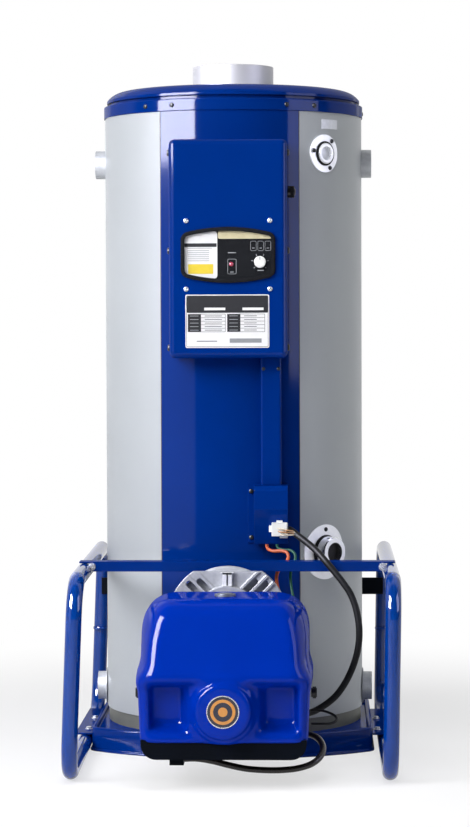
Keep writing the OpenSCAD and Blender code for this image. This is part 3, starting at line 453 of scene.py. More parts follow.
class Growth:
    """A Geometry Nodes tree with named inputs, grown into plain meshes."""

    def __init__(self, name: str, sockets: dict[str, str]) -> None:
        """Starts the tree.

        Args:
            name: The tree's name.
            sockets: Each input's name and socket type.
        """
        self.tree = bpy.data.node_groups.new(name, "GeometryNodeTree")
        face = self.tree.interface
        face.new_socket("Geometry", in_out="OUTPUT", socket_type="NodeSocketGeometry")
        face.new_socket("Geometry", in_out="INPUT", socket_type="NodeSocketGeometry")
        face.new_socket("Finish", in_out="INPUT", socket_type="NodeSocketMaterial")
        for title, kind in sockets.items():
            face.new_socket(title, in_out="INPUT", socket_type=kind)
        self.given = add(self.tree, "NodeGroupInput").outputs

    def close(self, instances: bpy.types.NodeSocket) -> None:
        """Ends the tree in real, dressed geometry.

        Args:
            instances: The socket that gives the instances.
        """
        real = add(self.tree, "GeometryNodeRealizeInstances", {"Geometry": instances})
        dressed = add(self.tree, "GeometryNodeSetMaterial", {
            "Geometry": real.outputs["Geometry"], "Material": self.given["Finish"]})
        add(self.tree, "NodeGroupOutput", {"Geometry": dressed.outputs["Geometry"]})

    def grow(self, finish: Finish, seeds: bpy.types.Mesh | None = None, **values: Any) -> bpy.types.Mesh:
        """Runs the tree once.

        Args:
            finish: The finish that the tree sets.
            seeds: A mesh whose vertices carry the instances, where the tree needs one.
            values: The other inputs, by name with _ for a space.

        Returns:
            A plain mesh.
        """
        holder = bpy.data.objects.new("holder", seeds or bpy.data.meshes.new("holder"))
        bpy.context.scene.collection.objects.link(holder)
        modifier = holder.modifiers.new("growth", "NODES")
        modifier.node_group = self.tree
        named = {"Finish": finish.material(), **{k.replace("_", " "): v for k, v in values.items()}}
        for item in self.tree.interface.items_tree:
            if item.in_out == "INPUT" and item.name in named:
                modifier[item.identifier] = named[item.name]
        grown = holder.evaluated_get(bpy.context.evaluated_depsgraph_get())
        mesh = bpy.data.meshes.new_from_object(grown)
        holder.modifiers.remove(modifier)
        bpy.data.objects.remove(holder)
        return mesh


class HeadField(Growth):
    """Fastener heads on points, each along its point's axis and turned by chance from a fixed seed."""

    SEED = 7
    SIDES = 24
    WASHER = (1.3, 0.16)
    HEX_CAP = (0.9, 0.1)
    DOME_ANGLES = (14, 34, 54, 72)
    DOME_POWERS = (0.5, 0.8)
    RECESS = ((0.52, 0.14, 0.99), (0.4, 0.09, 0.45))

    def __init__(self) -> None:
        """Builds the tree."""
        super().__init__("fastener_heads", {
            "Head": "NodeSocketObject", "Radius": "NodeSocketFloat", "Seed": "NodeSocketInt"})
        tree, given = self.tree, self.given
        shape = add(tree, "GeometryNodeObjectInfo", {"Object": given["Head"]})
        axis = add(tree, "GeometryNodeInputNamedAttribute", {"Name": "axis"}, data_type="FLOAT_VECTOR")
        upright = add(tree, "FunctionNodeAlignRotationToVector", {"Vector": axis.outputs["Attribute"]}, axis="Z")
        chance = add(tree, "FunctionNodeRandomValue", {"Seed": given["Seed"], 3: math.tau}, data_type="FLOAT")
        spin = add(tree, "FunctionNodeAxisAngleToRotation", {"Angle": chance.outputs[1]})
        turned = add(tree, "FunctionNodeRotateRotation", {
            "Rotation": upright.outputs["Rotation"], "Rotate By": spin.outputs["Rotation"]},
            rotation_space="LOCAL")
        placed = add(tree, "GeometryNodeInstanceOnPoints", {
            "Points": given["Geometry"], "Instance": shape.outputs["Geometry"],
            "Rotation": turned.outputs["Rotation"], "Scale": given["Radius"]})
        self.close(placed.outputs["Instances"])

    @classmethod
    def head(cls, kind: Head) -> bpy.types.Mesh:
        """Makes a head of radius 1 on the local Z axis.

        Args:
            kind: The kind of head.

        Returns:
            Its mesh: a dome with a cross recess, or a hexagon on a washer.
        """
        top, sides = kind.value, cls.SIDES
        if kind is Head.HEX:
            (washer, thick), (cap, chamfer) = cls.WASHER, cls.HEX_CAP

            def hexagon(radius: float, z: float) -> Loop:
                """Returns a hexagon's loop with as many points as a circle."""
                sixth = math.pi / 3
                return [p * (math.cos(sixth / 2) / math.cos((i * math.tau / sides) % sixth - sixth / 2))
                        + Vector((0, 0, z)) for i, p in enumerate(circle(radius, 0, sides))]

            return loft([circle(washer, 0, sides), circle(washer, thick, sides), hexagon(1.0, thick),
                         hexagon(1.0, top - chamfer), hexagon(cap, top)])

        def cross(length: float, half_width: float, z: float) -> Loop:
            """Returns the loop of a cross."""
            loop = []
            for p in circle(1, 0, sides):
                reach = max(min(length / max(abs(u), TINY), half_width / max(abs(v), TINY))
                            for u, v in ((p.x, p.y), (p.y, p.x)))
                loop.append(Vector((p.x * reach, p.y * reach, z)))
            return loop

        across, up = cls.DOME_POWERS
        dome = [circle(1.0, 0, sides)] + [circle(math.cos(a) ** across, top * math.sin(a) ** up, sides)
                                          for a in map(math.radians, cls.DOME_ANGLES)]
        return loft(dome + [cross(length, half, top * height) for length, half, height in cls.RECESS])

    def place(self, name: str, kind: Head, finish: Finish, radius: float,
              spots: Sequence[tuple[Vector, Vector]]) -> bpy.types.Object:
        """Places heads on the boiler.

        Args:
            name: The piece's name.
            kind: The kind of head.
            finish: Its finish.
            radius: The head's radius in metres.
            spots: For each head, its seat and its outward axis.

        Returns:
            One piece with every head.
        """
        pattern = bpy.data.objects.new("pattern_head", self.head(kind))
        seeds = bpy.data.meshes.new("seeds")
        seeds.from_pydata([s for s, _ in spots], [], [])
        axes = seeds.attributes.new("axis", "FLOAT_VECTOR", "POINT")
        for i, (_, axis) in enumerate(spots):
            axes.data[i].vector = axis
        mesh = self.grow(finish, seeds, Head=pattern, Radius=radius, Seed=self.SEED)
        bpy.data.objects.remove(pattern)
        return piece(name, mesh, finish)


class RuledLines(Growth):
    """Equal bars laid in a row, for ruled tables, printed lines and grooves."""

    def __init__(self) -> None:
        """Builds the tree."""
        super().__init__("ruled_lines", {
            "Count": "NodeSocketInt", "Start": "NodeSocketVector", "Step": "NodeSocketVector",
            "Bar": "NodeSocketVector"})
        tree, given = self.tree, self.given
        row = add(tree, "GeometryNodeMeshLine", {
            "Count": given["Count"], "Start Location": given["Start"], "Offset": given["Step"]})
        bar = add(tree, "GeometryNodeMeshCube", {"Size": given["Bar"]})
        placed = add(tree, "GeometryNodeInstanceOnPoints", {
            "Points": row.outputs["Mesh"], "Instance": bar.outputs["Mesh"]})
        self.close(placed.outputs["Instances"])


class PolarMarks(Growth):
    """Equal bars turned about an axis, for dial marks and grip ribs."""

    def __init__(self) -> None:
        """Builds the tree."""
        super().__init__("polar_marks", {
            "Count": "NodeSocketInt", "Centre": "NodeSocketVector", "Axis": "NodeSocketVector",
            "Reach": "NodeSocketVector", "Bar": "NodeSocketVector", "First": "NodeSocketFloat",
            "Step": "NodeSocketFloat"})
        tree, given = self.tree, self.given
        points = add(tree, "GeometryNodeMeshLine", {
            "Count": given["Count"], "Start Location": given["Centre"], "Offset": (0.0, 0.0, 0.0)})
        bar = add(tree, "GeometryNodeMeshCube", {"Size": given["Bar"]})
        out = add(tree, "GeometryNodeTransform", {
            "Geometry": bar.outputs["Mesh"], "Translation": given["Reach"]})
        number = add(tree, "GeometryNodeInputIndex")
        angle = add(tree, "ShaderNodeMath", {
            0: number.outputs["Index"], 1: given["Step"], 2: given["First"]}, operation="MULTIPLY_ADD")
        turn = add(tree, "FunctionNodeAxisAngleToRotation", {
            "Axis": given["Axis"], "Angle": angle.outputs["Value"]})
        placed = add(tree, "GeometryNodeInstanceOnPoints", {
            "Points": points.outputs["Mesh"], "Instance": out.outputs["Geometry"],
            "Rotation": turn.outputs["Rotation"]})
        self.close(placed.outputs["Instances"])


HEADS = HeadField()
LINES = RuledLines()
MARKS = PolarMarks()


def front_plate(width: float, height: float, corner: float, thickness: float, x: float, y: float, z: float,
                edge: float = 0.0) -> bpy.types.Mesh:
    """Makes a plate that faces the front.

    Args:
        width: Size along X in metres.
        height: Size along Z in metres.
        corner: Radius of its corners.
        thickness: Its thickness toward the front.
        x: Place of its centre.
        y: Place of its back face.
        z: Place of its centre.
        edge: Bevel of its front edge.

    Returns:
        The mesh.
    """
    loops = [rounded_rectangle(width, height, corner, 0)]
    if edge:
        loops.append(rounded_rectangle(width, height, corner, thickness - edge))
    loops.append(rounded_rectangle(width - 2 * edge, height - 2 * edge, corner - edge, thickness))
    return loft(loops, toward(0, x, y, z))


def front_frame(width: float, height: float, corner: float, line: float, thickness: float,
                x: float, y: float, z: float) -> bpy.types.Mesh:
    """Makes a thin printed outline that faces the front.

    Args:
        width: Outer size along X in metres.
        height: Outer size along Z in metres.
        corner: Outer radius of its corners.
        line: Width of the line.
        thickness: Its thickness toward the front.
        x: Place of its centre.
        y: Place of its back face.
        z: Place of its centre.

    Returns:
        The mesh.
    """
    outer = [rounded_rectangle(width, height, corner, h) for h in (0, thickness)]
    inner = [rounded_rectangle(width - 2 * line, height - 2 * line, corner - line, h) for h in (thickness, 0)]
    return loft(outer + inner, toward(0, x, y, z), capped=False)


@dataclass(frozen=True)
class Print:
    """A flat print that faces the front, in millimetres from its sheet's middle. A line width makes it an outline."""

    width: float
    height: float
    corner: float
    x: float
    z: float
    line: float = 0.0

    def lay(self, middle: tuple[float, float], y: float, film: float) -> bpy.types.Mesh:
        """Lays the print on a face.

        Args:
            middle: X and Z of the sheet's middle in metres.
            y: Place of the face in metres.
            film: The print's thickness in metres.

        Returns:
            Its mesh.
        """
        size = (self.width * MM, self.height * MM, self.corner * MM)
        place = (middle[0] + self.x * MM, y, middle[1] + self.z * MM)
        if self.line:
            return front_frame(*size, self.line * MM, film, *place)
        return front_plate(*size, film, *place)


@dataclass(frozen=True)
class Rules:
    """Equal level rules, in millimetres from their sheet's middle to the middle of the first."""

    x: float
    z: float
    length: float
    line: float
    count: int = 1
    step: float = 0.0

    def draw(self, middle: tuple[float, float], y: float, film: float, ink: Finish) -> bpy.types.Mesh:
        """Draws the rules on a face.

        Args:
            middle: X and Z of the sheet's middle in metres.
            y: Place of the face in metres.
            film: The ink's thickness in metres.
            ink: The ink.

        Returns:
            Their mesh.
        """
        start = (middle[0] + self.x * MM, y - film / 2, middle[1] + self.z * MM)
        return LINES.grow(ink, Count=self.count, Start=start, Step=(0.0, 0.0, -self.step * MM),
                          Bar=(self.length * MM, film, self.line * MM))


def beside(mark: Print | Rules, x: float) -> Print | Rules:
    """Returns the same mark, moved along X by some millimetres."""
    return replace(mark, x=mark.x + x)


@dataclass(frozen=True)
class Softbox:
    """A soft rectangular light, hung at a place and aimed at a point, in metres.

    One that is not mirrored lights matt colour only, as a cross-polarised lamp does, and one that is not matt
    shows in reflections only, as a white card does.
    """

    name: str
    place: tuple[float, float, float]
    aim: tuple[float, float, float]
    width: float
    tall: float
    radiance: float
    tint: str = "#FFFFFF"
    mirrored: bool = True
    matt: bool = True
    spread: float = 180.0

    def hang(self) -> None:
        """Adds the light, with the power that gives its radiance."""
        lamp = bpy.data.lights.new(self.name, "AREA")
        lamp.shape, lamp.size, lamp.size_y = "RECTANGLE", self.width, self.tall
        lamp.energy = math.pi * self.width * self.tall * self.radiance
        lamp.color, lamp.spread = linear(self.tint)[:3], math.radians(self.spread)
        holder = bpy.data.objects.new(self.name, lamp)
        holder.visible_glossy, holder.visible_diffuse = self.mirrored, self.matt
        look = Vector(self.aim) - Vector(self.place)
        holder.matrix_world = Matrix.Translation(self.place) @ look.to_track_quat("-Z", "Y").to_matrix().to_4x4()
        bpy.context.scene.collection.objects.link(holder)


@dataclass
class Studio:
    """Camera, floor and room. Pixels are those of a 470 by 827 image."""

    image_height: int = 827
    focal_px: float = 2606.0
    sensor: float = 36.0
    distance: float = 4.87
    height: float = 0.779
    bearing: float = 1.9
    yaw: float = -0.018
    tilt: float = 2.06
    roll: float = -0.19
    floor_span: float = 60.0
    floor_colour: str = "#F4F4F4"
    floor_near: float = 0.45
    floor_far: float = 1.5
    floor_glow: float = 0.62
    floor_front: tuple[float, float] = (-1.4, -0.95)
    room_back: tuple[float, float] = (0.0, 0.2)
    ambient: str = "#3C3C42"

    def build(self) -> None:
        """Builds the camera, the floor and the lights."""
        bpy.context.scene.view_settings.view_transform = "Standard"
        self._camera()
        self._floor()
        self._world()
        for light in SOFTBOXES:
            light.hang()

    def _camera(self) -> None:
        """Sets the camera at the photograph's angle."""
        lens = bpy.data.cameras.new("camera")
        lens.sensor_width = self.sensor
        lens.lens = self.focal_px * self.sensor / self.image_height
        camera = bpy.data.objects.new("camera", lens)
        a = math.radians(self.bearing)
        camera.matrix_world = (
            Matrix.Translation((self.distance * math.sin(a), -self.distance * math.cos(a), self.height))
            @ Matrix.Rotation(a + math.radians(self.yaw), 4, "Z")
            @ Matrix.Rotation(math.radians(90 - self.tilt), 4, "X")
            @ Matrix.Rotation(math.radians(self.roll), 4, "Z"))
        bpy.context.scene.collection.objects.link(camera)
        bpy.context.scene.camera = camera

    @staticmethod
    def _seen(tree: bpy.types.NodeTree, place: bpy.types.NodeSocket, rise: tuple[float, float]) -> bpy.types.NodeSocket:
        """Tells the rays that meet a white studio.

        Args:
            tree: The tree to work in.
            place: A place or a direction.
            rise: Depths between which mirrored white sets in.

        Returns:
            1 for what is seen straight, and behind that depth in a mirror or through glass.
        """
        path = add(tree, "ShaderNodeLightPath").outputs
        depth = add(tree, "ShaderNodeSeparateXYZ", {0: place})
        behind = add(tree, "ShaderNodeMapRange", {
            "Value": depth.outputs["Y"], "From Min": rise[0], "From Max": rise[1]}, interpolation_type="SMOOTHSTEP")
        shiny = add(tree, "ShaderNodeMath", {0: path["Is Glossy Ray"], 1: path["Is Transmission Ray"]},
                    operation="MAXIMUM")
        mirrored = add(tree, "ShaderNodeMath", {0: shiny.outputs[0], 1: behind.outputs["Result"]},
                       operation="MULTIPLY")
        return add(tree, "ShaderNodeMath", {0: path["Is Camera Ray"], 1: mirrored.outputs[0]},
                   operation="MAXIMUM").outputs[0]

    def _white(self) -> bpy.types.Material:
        """Mixes the floor's white.

        Returns:
            Matt paint that keeps the shadow near the boiler and looks white around it.
        """
        material = bpy.data.materials.new("studio_paint_white")
        material.use_nodes = True
        tree = material.node_tree
        tree.nodes.clear()
        place = add(tree, "ShaderNodeTexCoord").outputs["Object"]
        away = add(tree, "ShaderNodeVectorMath", {0: place}, operation="LENGTH")
        share = add(tree, "ShaderNodeMapRange", {
            "Value": away.outputs["Value"], "From Min": self.floor_near, "From Max": self.floor_far,
            "To Min": self.floor_glow, "To Max": 1.0}, interpolation_type="SMOOTHSTEP")
        shown = add(tree, "ShaderNodeMath", {
            0: self._seen(tree, place, self.floor_front), 1: share.outputs["Result"]}, operation="MULTIPLY")
        matt = add(tree, "ShaderNodeBsdfDiffuse", {"Color": linear(self.floor_colour)})
        glow = add(tree, "ShaderNodeEmission", {"Color": (1, 1, 1, 1), "Strength": 1.0})
        both = add(tree, "ShaderNodeMixShader", {
            0: shown.outputs[0], 1: matt.outputs["BSDF"], 2: glow.outputs["Emission"]})
        add(tree, "ShaderNodeOutputMaterial", {"Surface": both.outputs["Shader"]})
        return material

    def _floor(self) -> None:
        """Lays a wide flat floor."""
        half = self.floor_span / 2
        mesh = bpy.data.meshes.new("studio_floor")
        mesh.from_pydata([(-half, -half, 0), (half, -half, 0), (half, half, 0), (-half, half, 0)], [], [(0, 1, 2, 3)])
        mesh.materials.append(self._white())
        floor = bpy.data.objects.new("studio_floor", mesh)
        bpy.context.scene.collection.objects.link(floor)

    def _world(self) -> None:
        """Gives the room a dim, even light of its own and a white look."""
        world = bpy.data.worlds.new("studio_room")
        world.use_nodes = True
        tree = world.node_tree
        tree.nodes.clear()
        way = add(tree, "ShaderNodeTexCoord").outputs["Generated"]
        dim = add(tree, "ShaderNodeBackground", {"Color": linear(self.ambient), "Strength": 1.0})
        white = add(tree, "ShaderNodeBackground", {"Color": (1, 1, 1, 1), "Strength": 1.0})
        both = add(tree, "ShaderNodeMixShader", {
            0: self._seen(tree, way, self.room_back), 1: dim.outputs["Background"], 2: white.outputs["Background"]})
        add(tree, "ShaderNodeOutputWorld", {"Surface": both.outputs["Shader"]})
        bpy.context.scene.world = world


SOFTBOXES = (
    Softbox("key_softbox", (-2.05, -1.95, 1.9), (0.0, 0.0, 0.8), 1.7, 1.5, 10.6, "#FBFAFF", mirrored=False),
    Softbox("key_card", (-2.05, -1.85, 2.0), (0.0, 0.0, 1.2), 1.8, 1.6, 80.0, "#F1F2FF", matt=False),
    Softbox("low_card", (-2.0, -1.7, 0.62), (0.0, 0.0, 0.62), 1.5, 1.1, 1.5, "#F1F2FF", matt=False),
    Softbox("front_softbox", (-1.0, -3.3, 2.2), (0.0, 0.0, 0.7), 2.0, 1.6, 3.6, mirrored=False),
    Softbox("overhead_softbox", (0.3, -1.2, 3.3), (0.0, 0.0, 0.7), 2.6, 2.2, 1.5, mirrored=False),
    Softbox("fill_card", (2.5, -1.2, 1.5), (0.0, 0.0, 1.0), 1.5, 1.8, 6.0, "#E6E6FF", matt=False),
    Softbox("hood_softbox", (0.0, -1.0, 2.1), (0.0, -0.85, 0.0), 0.8, 0.5, 1.2, mirrored=False, spread=56.0),
    Softbox("rim_softbox", (2.1, 1.0, 1.2), (0.0, 0.0, 0.8), 0.8, 2.2, 3.0, mirrored=False),
    Softbox("rim_card", (1.5, 2.1, 1.2), (0.0, 0.0, 0.8), 0.4, 2.2, 1.0, matt=False),
    Softbox("rear_softbox", (-1.5, 2.4, 1.6), (0.0, 0.0, 0.8), 1.4, 2.2, 0.8),
)


@dataclass(frozen=True)
class Cord:
    """A free cord between two places on the boiler, in millimetres."""

    name: str
    diameter: float
    stiffness: str
    finish: Finish
    knots: tuple[tuple[float, float, float], ...]

    def build(self) -> bpy.types.Object:
        """Lays the cord.

        Returns:
            A curve that replaces the cord's CAD node.
        """
        line = smooth_line([Vector(k) * MM for k in self.knots])
        curve = bpy.data.curves.new(self.name + "_line", "CURVE")
        curve.dimensions = "3D"
        curve.bevel_depth = self.diameter * MM / 2
        curve.bevel_resolution = 4
        curve.use_fill_caps = True
        spline = curve.splines.new("POLY")
        spline.points.add(len(line) - 1)
        for point, place in zip(spline.points, line):
            point.co = (*place, 1.0)
        spline.use_smooth = True
        curve.materials.append(self.finish.material())
        cord = bpy.data.objects.new(self.name + "_sheath", curve)
        bpy.context.scene.collection.objects.link(cord)
        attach(cord, Body.BOILER.value)
        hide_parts(self.name)
        return cord


CORDS = (
    Cord("burner_cable", 12, "stiff", RUBBER, (
        (103.5, -284, 410), (110, -285, 407.2), (121, -291, 399), (135, -304, 389.5), (152, -322, 376.5),
        (169, -337.5, 359), (186, -344, 339), (201.5, -349, 319.5), (213.5, -352, 301), (222.5, -355, 276),
        (227.5, -357, 245.5), (226.5, -357, 214), (219, -357, 183), (206, -357, 153), (188.5, -356, 127),
        (168, -354, 109), (147, -356, 97.5), (131, -365, 95), (121, -380, 95), (117, -390, 95),
        (117, -399.7, 95))),
    Cord("oil_hose", 11, "stiff", OIL_RUBBER, (
        (115.3, -436, 72), (136, -436, 72), (154, -446, 67), (164, -466, 56), (161, -488, 43),
        (146, -503, 32), (122, -509, 25), (92, -510, 22), (62, -509, 22), (34, -507, 24), (6, -503, 29),
        (-20, -500, 35), (-46, -498, 39), (-69.7, -498, 39))),
    Cord("ignition_wire", 6, "medium", ORANGE_PVC, (
        (66, -262, 381.4), (66, -262, 377.5), (69, -263.5, 372.5), (78, -267.5, 369.5), (90, -272, 370.5),
        (101, -277, 368), (104, -282, 360), (99, -287, 350), (90, -290, 341), (84, -294, 331), (84, -301, 316),
        (92, -316, 288), (104, -336, 260), (111, -362, 243), (114, -385, 236), (114, -399.7, 236))),
    Cord("earth_wire", 5, "medium", GREEN_PVC, (
        (84, -262, 381.4), (84, -262, 378), (87, -263.5, 374), (97, -267.5, 372), (108, -272, 371.5),
        (115.5, -278, 365), (116, -284, 355), (112, -289, 344), (108, -294, 332), (109, -303, 313), (113, -318, 291),
        (116, -340, 271), (117, -364, 260), (117, -386, 256), (117, -399.7, 256))),
    Cord("sensor_lead", 4.5, "medium", RUBBER, (
        (144.3, -428, 111), (154, -428, 111), (165, -429, 110), (176, -432, 107), (185, -438, 103),
        (188, -447, 99), (184, -456, 95), (175, -461, 93), (164, -463, 93), (154, -463, 93),
        (144.3, -463, 93))),
)


@dataclass
class BodyShell:
    """Jacket, panel, top and pipe fittings."""

    couplings: tuple[str, ...] = (
        "supply_coupling_left", "supply_coupling_right", "return_coupling_left", "return_coupling_right")
    ring_radius: float = 0.240
    ring_screw_z: float = 1.1615
    ring_screw_bearings: tuple[float, ...] = (-39, -25.2, 25.2, 39, 95, 150, 210, 265)
    screw_radius: float = 0.0042
    label_bearing: float = 48.6
    label_z: float = 1.130
    label_size: tuple[float, float] = (0.043, 0.017)
    label_thickness: float = 0.0004
    jacket_radius: float = 0.2382
    thread_radius: float = 0.021
    thread_depth: float = 0.0011
    thread_pitch: float = 0.0023
    thread_turns: int = 8
    seam_width: float = 0.0014
    seam_lift: float = 0.0003
    seam_margin: float = 0.002
    thread_start: float = 0.001
    port_bearing: float = 45.0
    port_screw: float = 0.004
    mouth_band: float = 0.001
    dark_collar: float = 0.0045
    dark_collar_thickness: float = 0.0012
    dark_collar_neck: float = 0.35
    port_play: float = 0.0004
    bore_disc_thickness: float = 0.002
    bore_disc_fit: float = 0.0003
    bore_disc_dish: tuple[tuple[float, float], ...] = ((0.82, 0.0006), (0.78, 0.0004))

    def build(self) -> None:
        """Dresses the shell and adds its small fittings."""
        dress(BLUE_ENAMEL, "front_panel", "top_ring", "top_lid")
        dress(GREY_ENAMEL, "outer_jacket")
        dress(FOOT_PAINT, "body_foot")
        dress(PLATE_STEEL_AND_BORE_SHADE, "boiler_vessel")
        dress(FLUE_STEEL, "flue_collar")
        dress(PIPE_ZINC, *self.couplings)
        dress(PORT_ZINC, "upper_port_plate", "lower_port_plate")
        dress(MIRROR_PLATE, "lower_port_nozzle")
        dress(NOZZLE_ZINC, "upper_port_nipple")
        HEADS.place("ring_screws", Head.PAN, BLACK_OXIDE, self.screw_radius,
                    [self._round(self.ring_radius, b, self.ring_screw_z) for b in self.ring_screw_bearings])
        self._label()
        self._seams()
        self._threads()
        self._port("upper_port_plate", "upper_port_nipple", FOIL, sunk=0.003)
        # The lower port's dark steel disc is painted shade deep in its bore
        self._port("lower_port_plate", "lower_port_nozzle", PLATE_STEEL_AND_BORE_SHADE, sunk=0.012)
        self._port_screws("upper_port_plate", radius=0.0284, angles=(53, 171, -64))
        self._port_screws("lower_port_plate", radius=0.041, angles=(90, 205, -35))

    @staticmethod
    def _round(radius: float, bearing: float, z: float) -> tuple[Vector, Vector]:
        """Returns a seat on the jacket and its outward axis."""
        out = Vector((math.sin(math.radians(bearing)), -math.cos(math.radians(bearing)), 0))
        return out * radius + Vector((0, 0, z)), out

    def _label(self) -> None:
        """Sticks a bare foil label on the jacket."""
        width, height = self.label_size
        piece("foil_label", self._strip(self.label_bearing, width, self.label_z - height / 2,
                                        self.label_z + height / 2, self.label_thickness), FOIL)

    def _strip(self, bearing: float, width: float, low: float, high: float, lift: float,
               steps: int = 8) -> bpy.types.Mesh:
        """Makes a thin strip that lies on the jacket's curve.

        Args:
            bearing: Degrees from the front to its middle.
            width: Its size round the jacket.
            low: Height of its lower edge.
            high: Height of its upper edge.
            lift: Its thickness.
            steps: Chords across its width.

        Returns:
            The mesh.
        """
        half = math.degrees(width / self.jacket_radius) / 2
        loops = []
        for i in range(steps + 1):
            at = bearing - half + 2 * half * i / steps
            loops.append([self._round(self.jacket_radius + out, at, z)[0]
                          for out, z in ((-lift, low), (lift, low), (lift, high), (-lift, high))])
        return loft(loops)

    def _seams(self) -> None:
        """Draws the dark joints where the front panel laps the jacket."""
        points = corners("front_panel")
        bearings = np.degrees(np.arctan2(points[:, 0], -points[:, 1]))
        low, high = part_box("front_panel")
        seams = [self._strip(edge, self.seam_width, low.z + self.seam_margin, high.z - self.seam_margin,
                             self.seam_lift, steps=2)
                 for edge in (float(bearings.min()), float(bearings.max()))]
        piece("panel_seams", joined(seams), BLACK_OXIDE)

    def _port(self, plate: str, pipe: str, filling: Finish, sunk: float) -> None:
        """Adds a port's dark collar, the disc in its bore, painted shade in the lower port, and the pale lip of its
        mouth.

        Args:
            plate: The plate's CAD node.
            pipe: The CAD node of the pipe end.
            filling: Finish of the disc in the bore; the lower port's dark steel disc is painted shade.
            sunk: Depth of that disc behind the pipe's mouth.
        """
        out = self._round(1.0, self.port_bearing, 0)[1]
        low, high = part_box(plate)
        face = float((corners(plate) @ np.array(out)).max())
        rim = corners(pipe) @ np.array(out)
        mouth = float(rim.max())
        at_mouth = corners(pipe)[rim > mouth - self.mouth_band]
        middle = out * mouth + Vector((0, 0, (low.z + high.z) / 2))
        reach = np.linalg.norm(at_mouth - np.array(middle), axis=1)
        outer, bore = float(reach.max()), float(reach.min())
        base = toward(self.port_bearing, *(middle + out * (face - mouth)))
        # A dark ring from the plate to partway up the pipe
        flange, play, thick = outer + self.dark_collar, self.port_play, self.dark_collar_thickness
        neck = thick + (mouth - face) * self.dark_collar_neck
        dark_collar = [circle(flange, 0), circle(flange, thick), circle(outer + play, neck), circle(outer + play, 0)]
        piece(pipe + "_gasket", loft(dark_collar, base, False), RUBBER)
        front = toward(self.port_bearing, *middle)
        # A disc in the bore; the lower port's dark one is painted shade standing in for the shade inside
        full = bore + self.bore_disc_fit
        disc = [circle(full, -sunk - self.bore_disc_thickness), circle(full, -sunk),
                *(circle(bore * share, -sunk - dip) for share, dip in self.bore_disc_dish)]
        piece(pipe + "_closure", loft(disc, front), filling)
        lip = [circle(outer - play, 0), circle(outer - play, play), circle(bore + play, play), circle(bore + play, 0)]
        piece(pipe + "_mouth", loft(lip, front, False), PORT_ZINC)

    def _threads(self) -> None:
        """Cuts the look of a female thread into each coupling's mouth."""
        meshes = []
        for node in self.couplings:
            low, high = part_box(node)
            side = 1 if high.x > 0 else -1
            mouth = high.x if side > 0 else low.x
            place = toward(90 * side, mouth, (low.y + high.y) / 2, (low.z + high.z) / 2)
            ridges = [circle(self.thread_radius - self.thread_depth * (i % 2),
                             -self.thread_pitch * i / 2 - self.thread_start) for i in range(2 * self.thread_turns)]
            backing = [circle(self.thread_radius + self.thread_depth, ridges[i][0].z) for i in (-1, 0)]
            meshes.append(loft(ridges + backing, place, capped=False))
        piece("coupling_threads", joined(meshes), PIPE_ZINC)

    def _port_screws(self, node: str, radius: float, angles: Sequence[float]) -> None:
        """Puts black screws on a port's plate.

        Args:
            node: The plate's CAD node.
            radius: Distance of the screws from the port's axis.
            angles: Degrees round the axis, from the plate's right side up.
        """
        out = self._round(1.0, self.port_bearing, 0)[1]
        low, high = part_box(node)
        face = float((corners(node) @ np.array(out)).max())
        place = toward(self.port_bearing, *(out * face + Vector((0, 0, (low.z + high.z) / 2))))
        spots = [(place @ (Vector((math.cos(math.radians(a)), math.sin(math.radians(a)), 0)) * radius), out)
                 for a in angles]
        HEADS.place(node + "_screws", Head.PAN, BLACK_OXIDE, self.port_screw, spots)


@dataclass
class BaseTray:
    """The pressed tray: straight sides, bowed ends and a rolled rim."""

    half_width: float = 0.254
    reach: float = 0.271
    bow: float = 0.400
    corner: float = 0.022
    rim_z: float = 0.043
    deck_z: float = 0.036
    rim_width: float = 0.009
    edge: float = 0.0035
    lip: float = 0.0035
    lip_height: float = 0.004
    lip_round: float = 0.001
    lip_crest: float = 0.0008
    lip_root: tuple[float, float] = (0.0006, 0.0004)
    wall_z: float = 0.006
    rim_steps: int = 6

    def build(self) -> None:
        """Sweeps the tray's section round its outline."""
        turned, root = self.lip_round, self.lip_root
        section = [(-self.lip + turned, 0.0), (-self.lip, turned), (-self.lip, self.lip_height - turned),
                   (-self.lip + self.lip_crest, self.lip_height), (-root[0], self.lip_height + root[1]),
                   (0.0, self.wall_z)]
        turn = [math.radians(90 * i / self.rim_steps) for i in range(self.rim_steps + 1)]
        top = self.rim_z - self.edge
        section += [(self.edge * (1 - math.cos(a)), top + self.edge * math.sin(a)) for a in turn]
        section += [(self.rim_width - self.edge * (1 - math.sin(a)), top + self.edge * math.cos(a)) for a in turn]
        section += [(self.rim_width, self.deck_z + turned), (self.rim_width + turned, self.deck_z)]
        mesh = loft([self._outline(inset, z) for inset, z in section], crease=45)
        piece("pressed_tray", mesh, BLUE_ENAMEL, "base_tray")

    def _outline(self, inset: float, z: float, steps: int = 10) -> Loop:
        """Makes the tray's outline, moved inward.

        Args:
            inset: How far inward.
            z: Height of the loop.
            steps: Chords in each corner and in each half bow.

        Returns:
            The points, anticlockwise.
        """
        bow_y = self.bow - self.reach
        corner_x = self.half_width - self.corner
        corner_y = math.sqrt((self.bow - self.corner) ** 2 - corner_x ** 2) - bow_y
        lean = math.atan2(corner_y + bow_y, corner_x)
        quarter = []
        for i in range(steps + 1):
            a = lean * i / steps
            quarter.append((corner_x + (self.corner - inset) * math.cos(a),
                            corner_y + (self.corner - inset) * math.sin(a)))
        for i in range(1, steps + 1):
            a = lean + (math.pi / 2 - lean) * i / steps
            quarter.append(((self.bow - inset) * math.cos(a), (self.bow - inset) * math.sin(a) - bow_y))
        right = [(x, -y) for x, y in reversed(quarter)] + quarter
        left = [(-x, y) for x, y in reversed(right)]
        return [Vector((x, y, z)) for x, y in right[:-1] + left[:-1]]


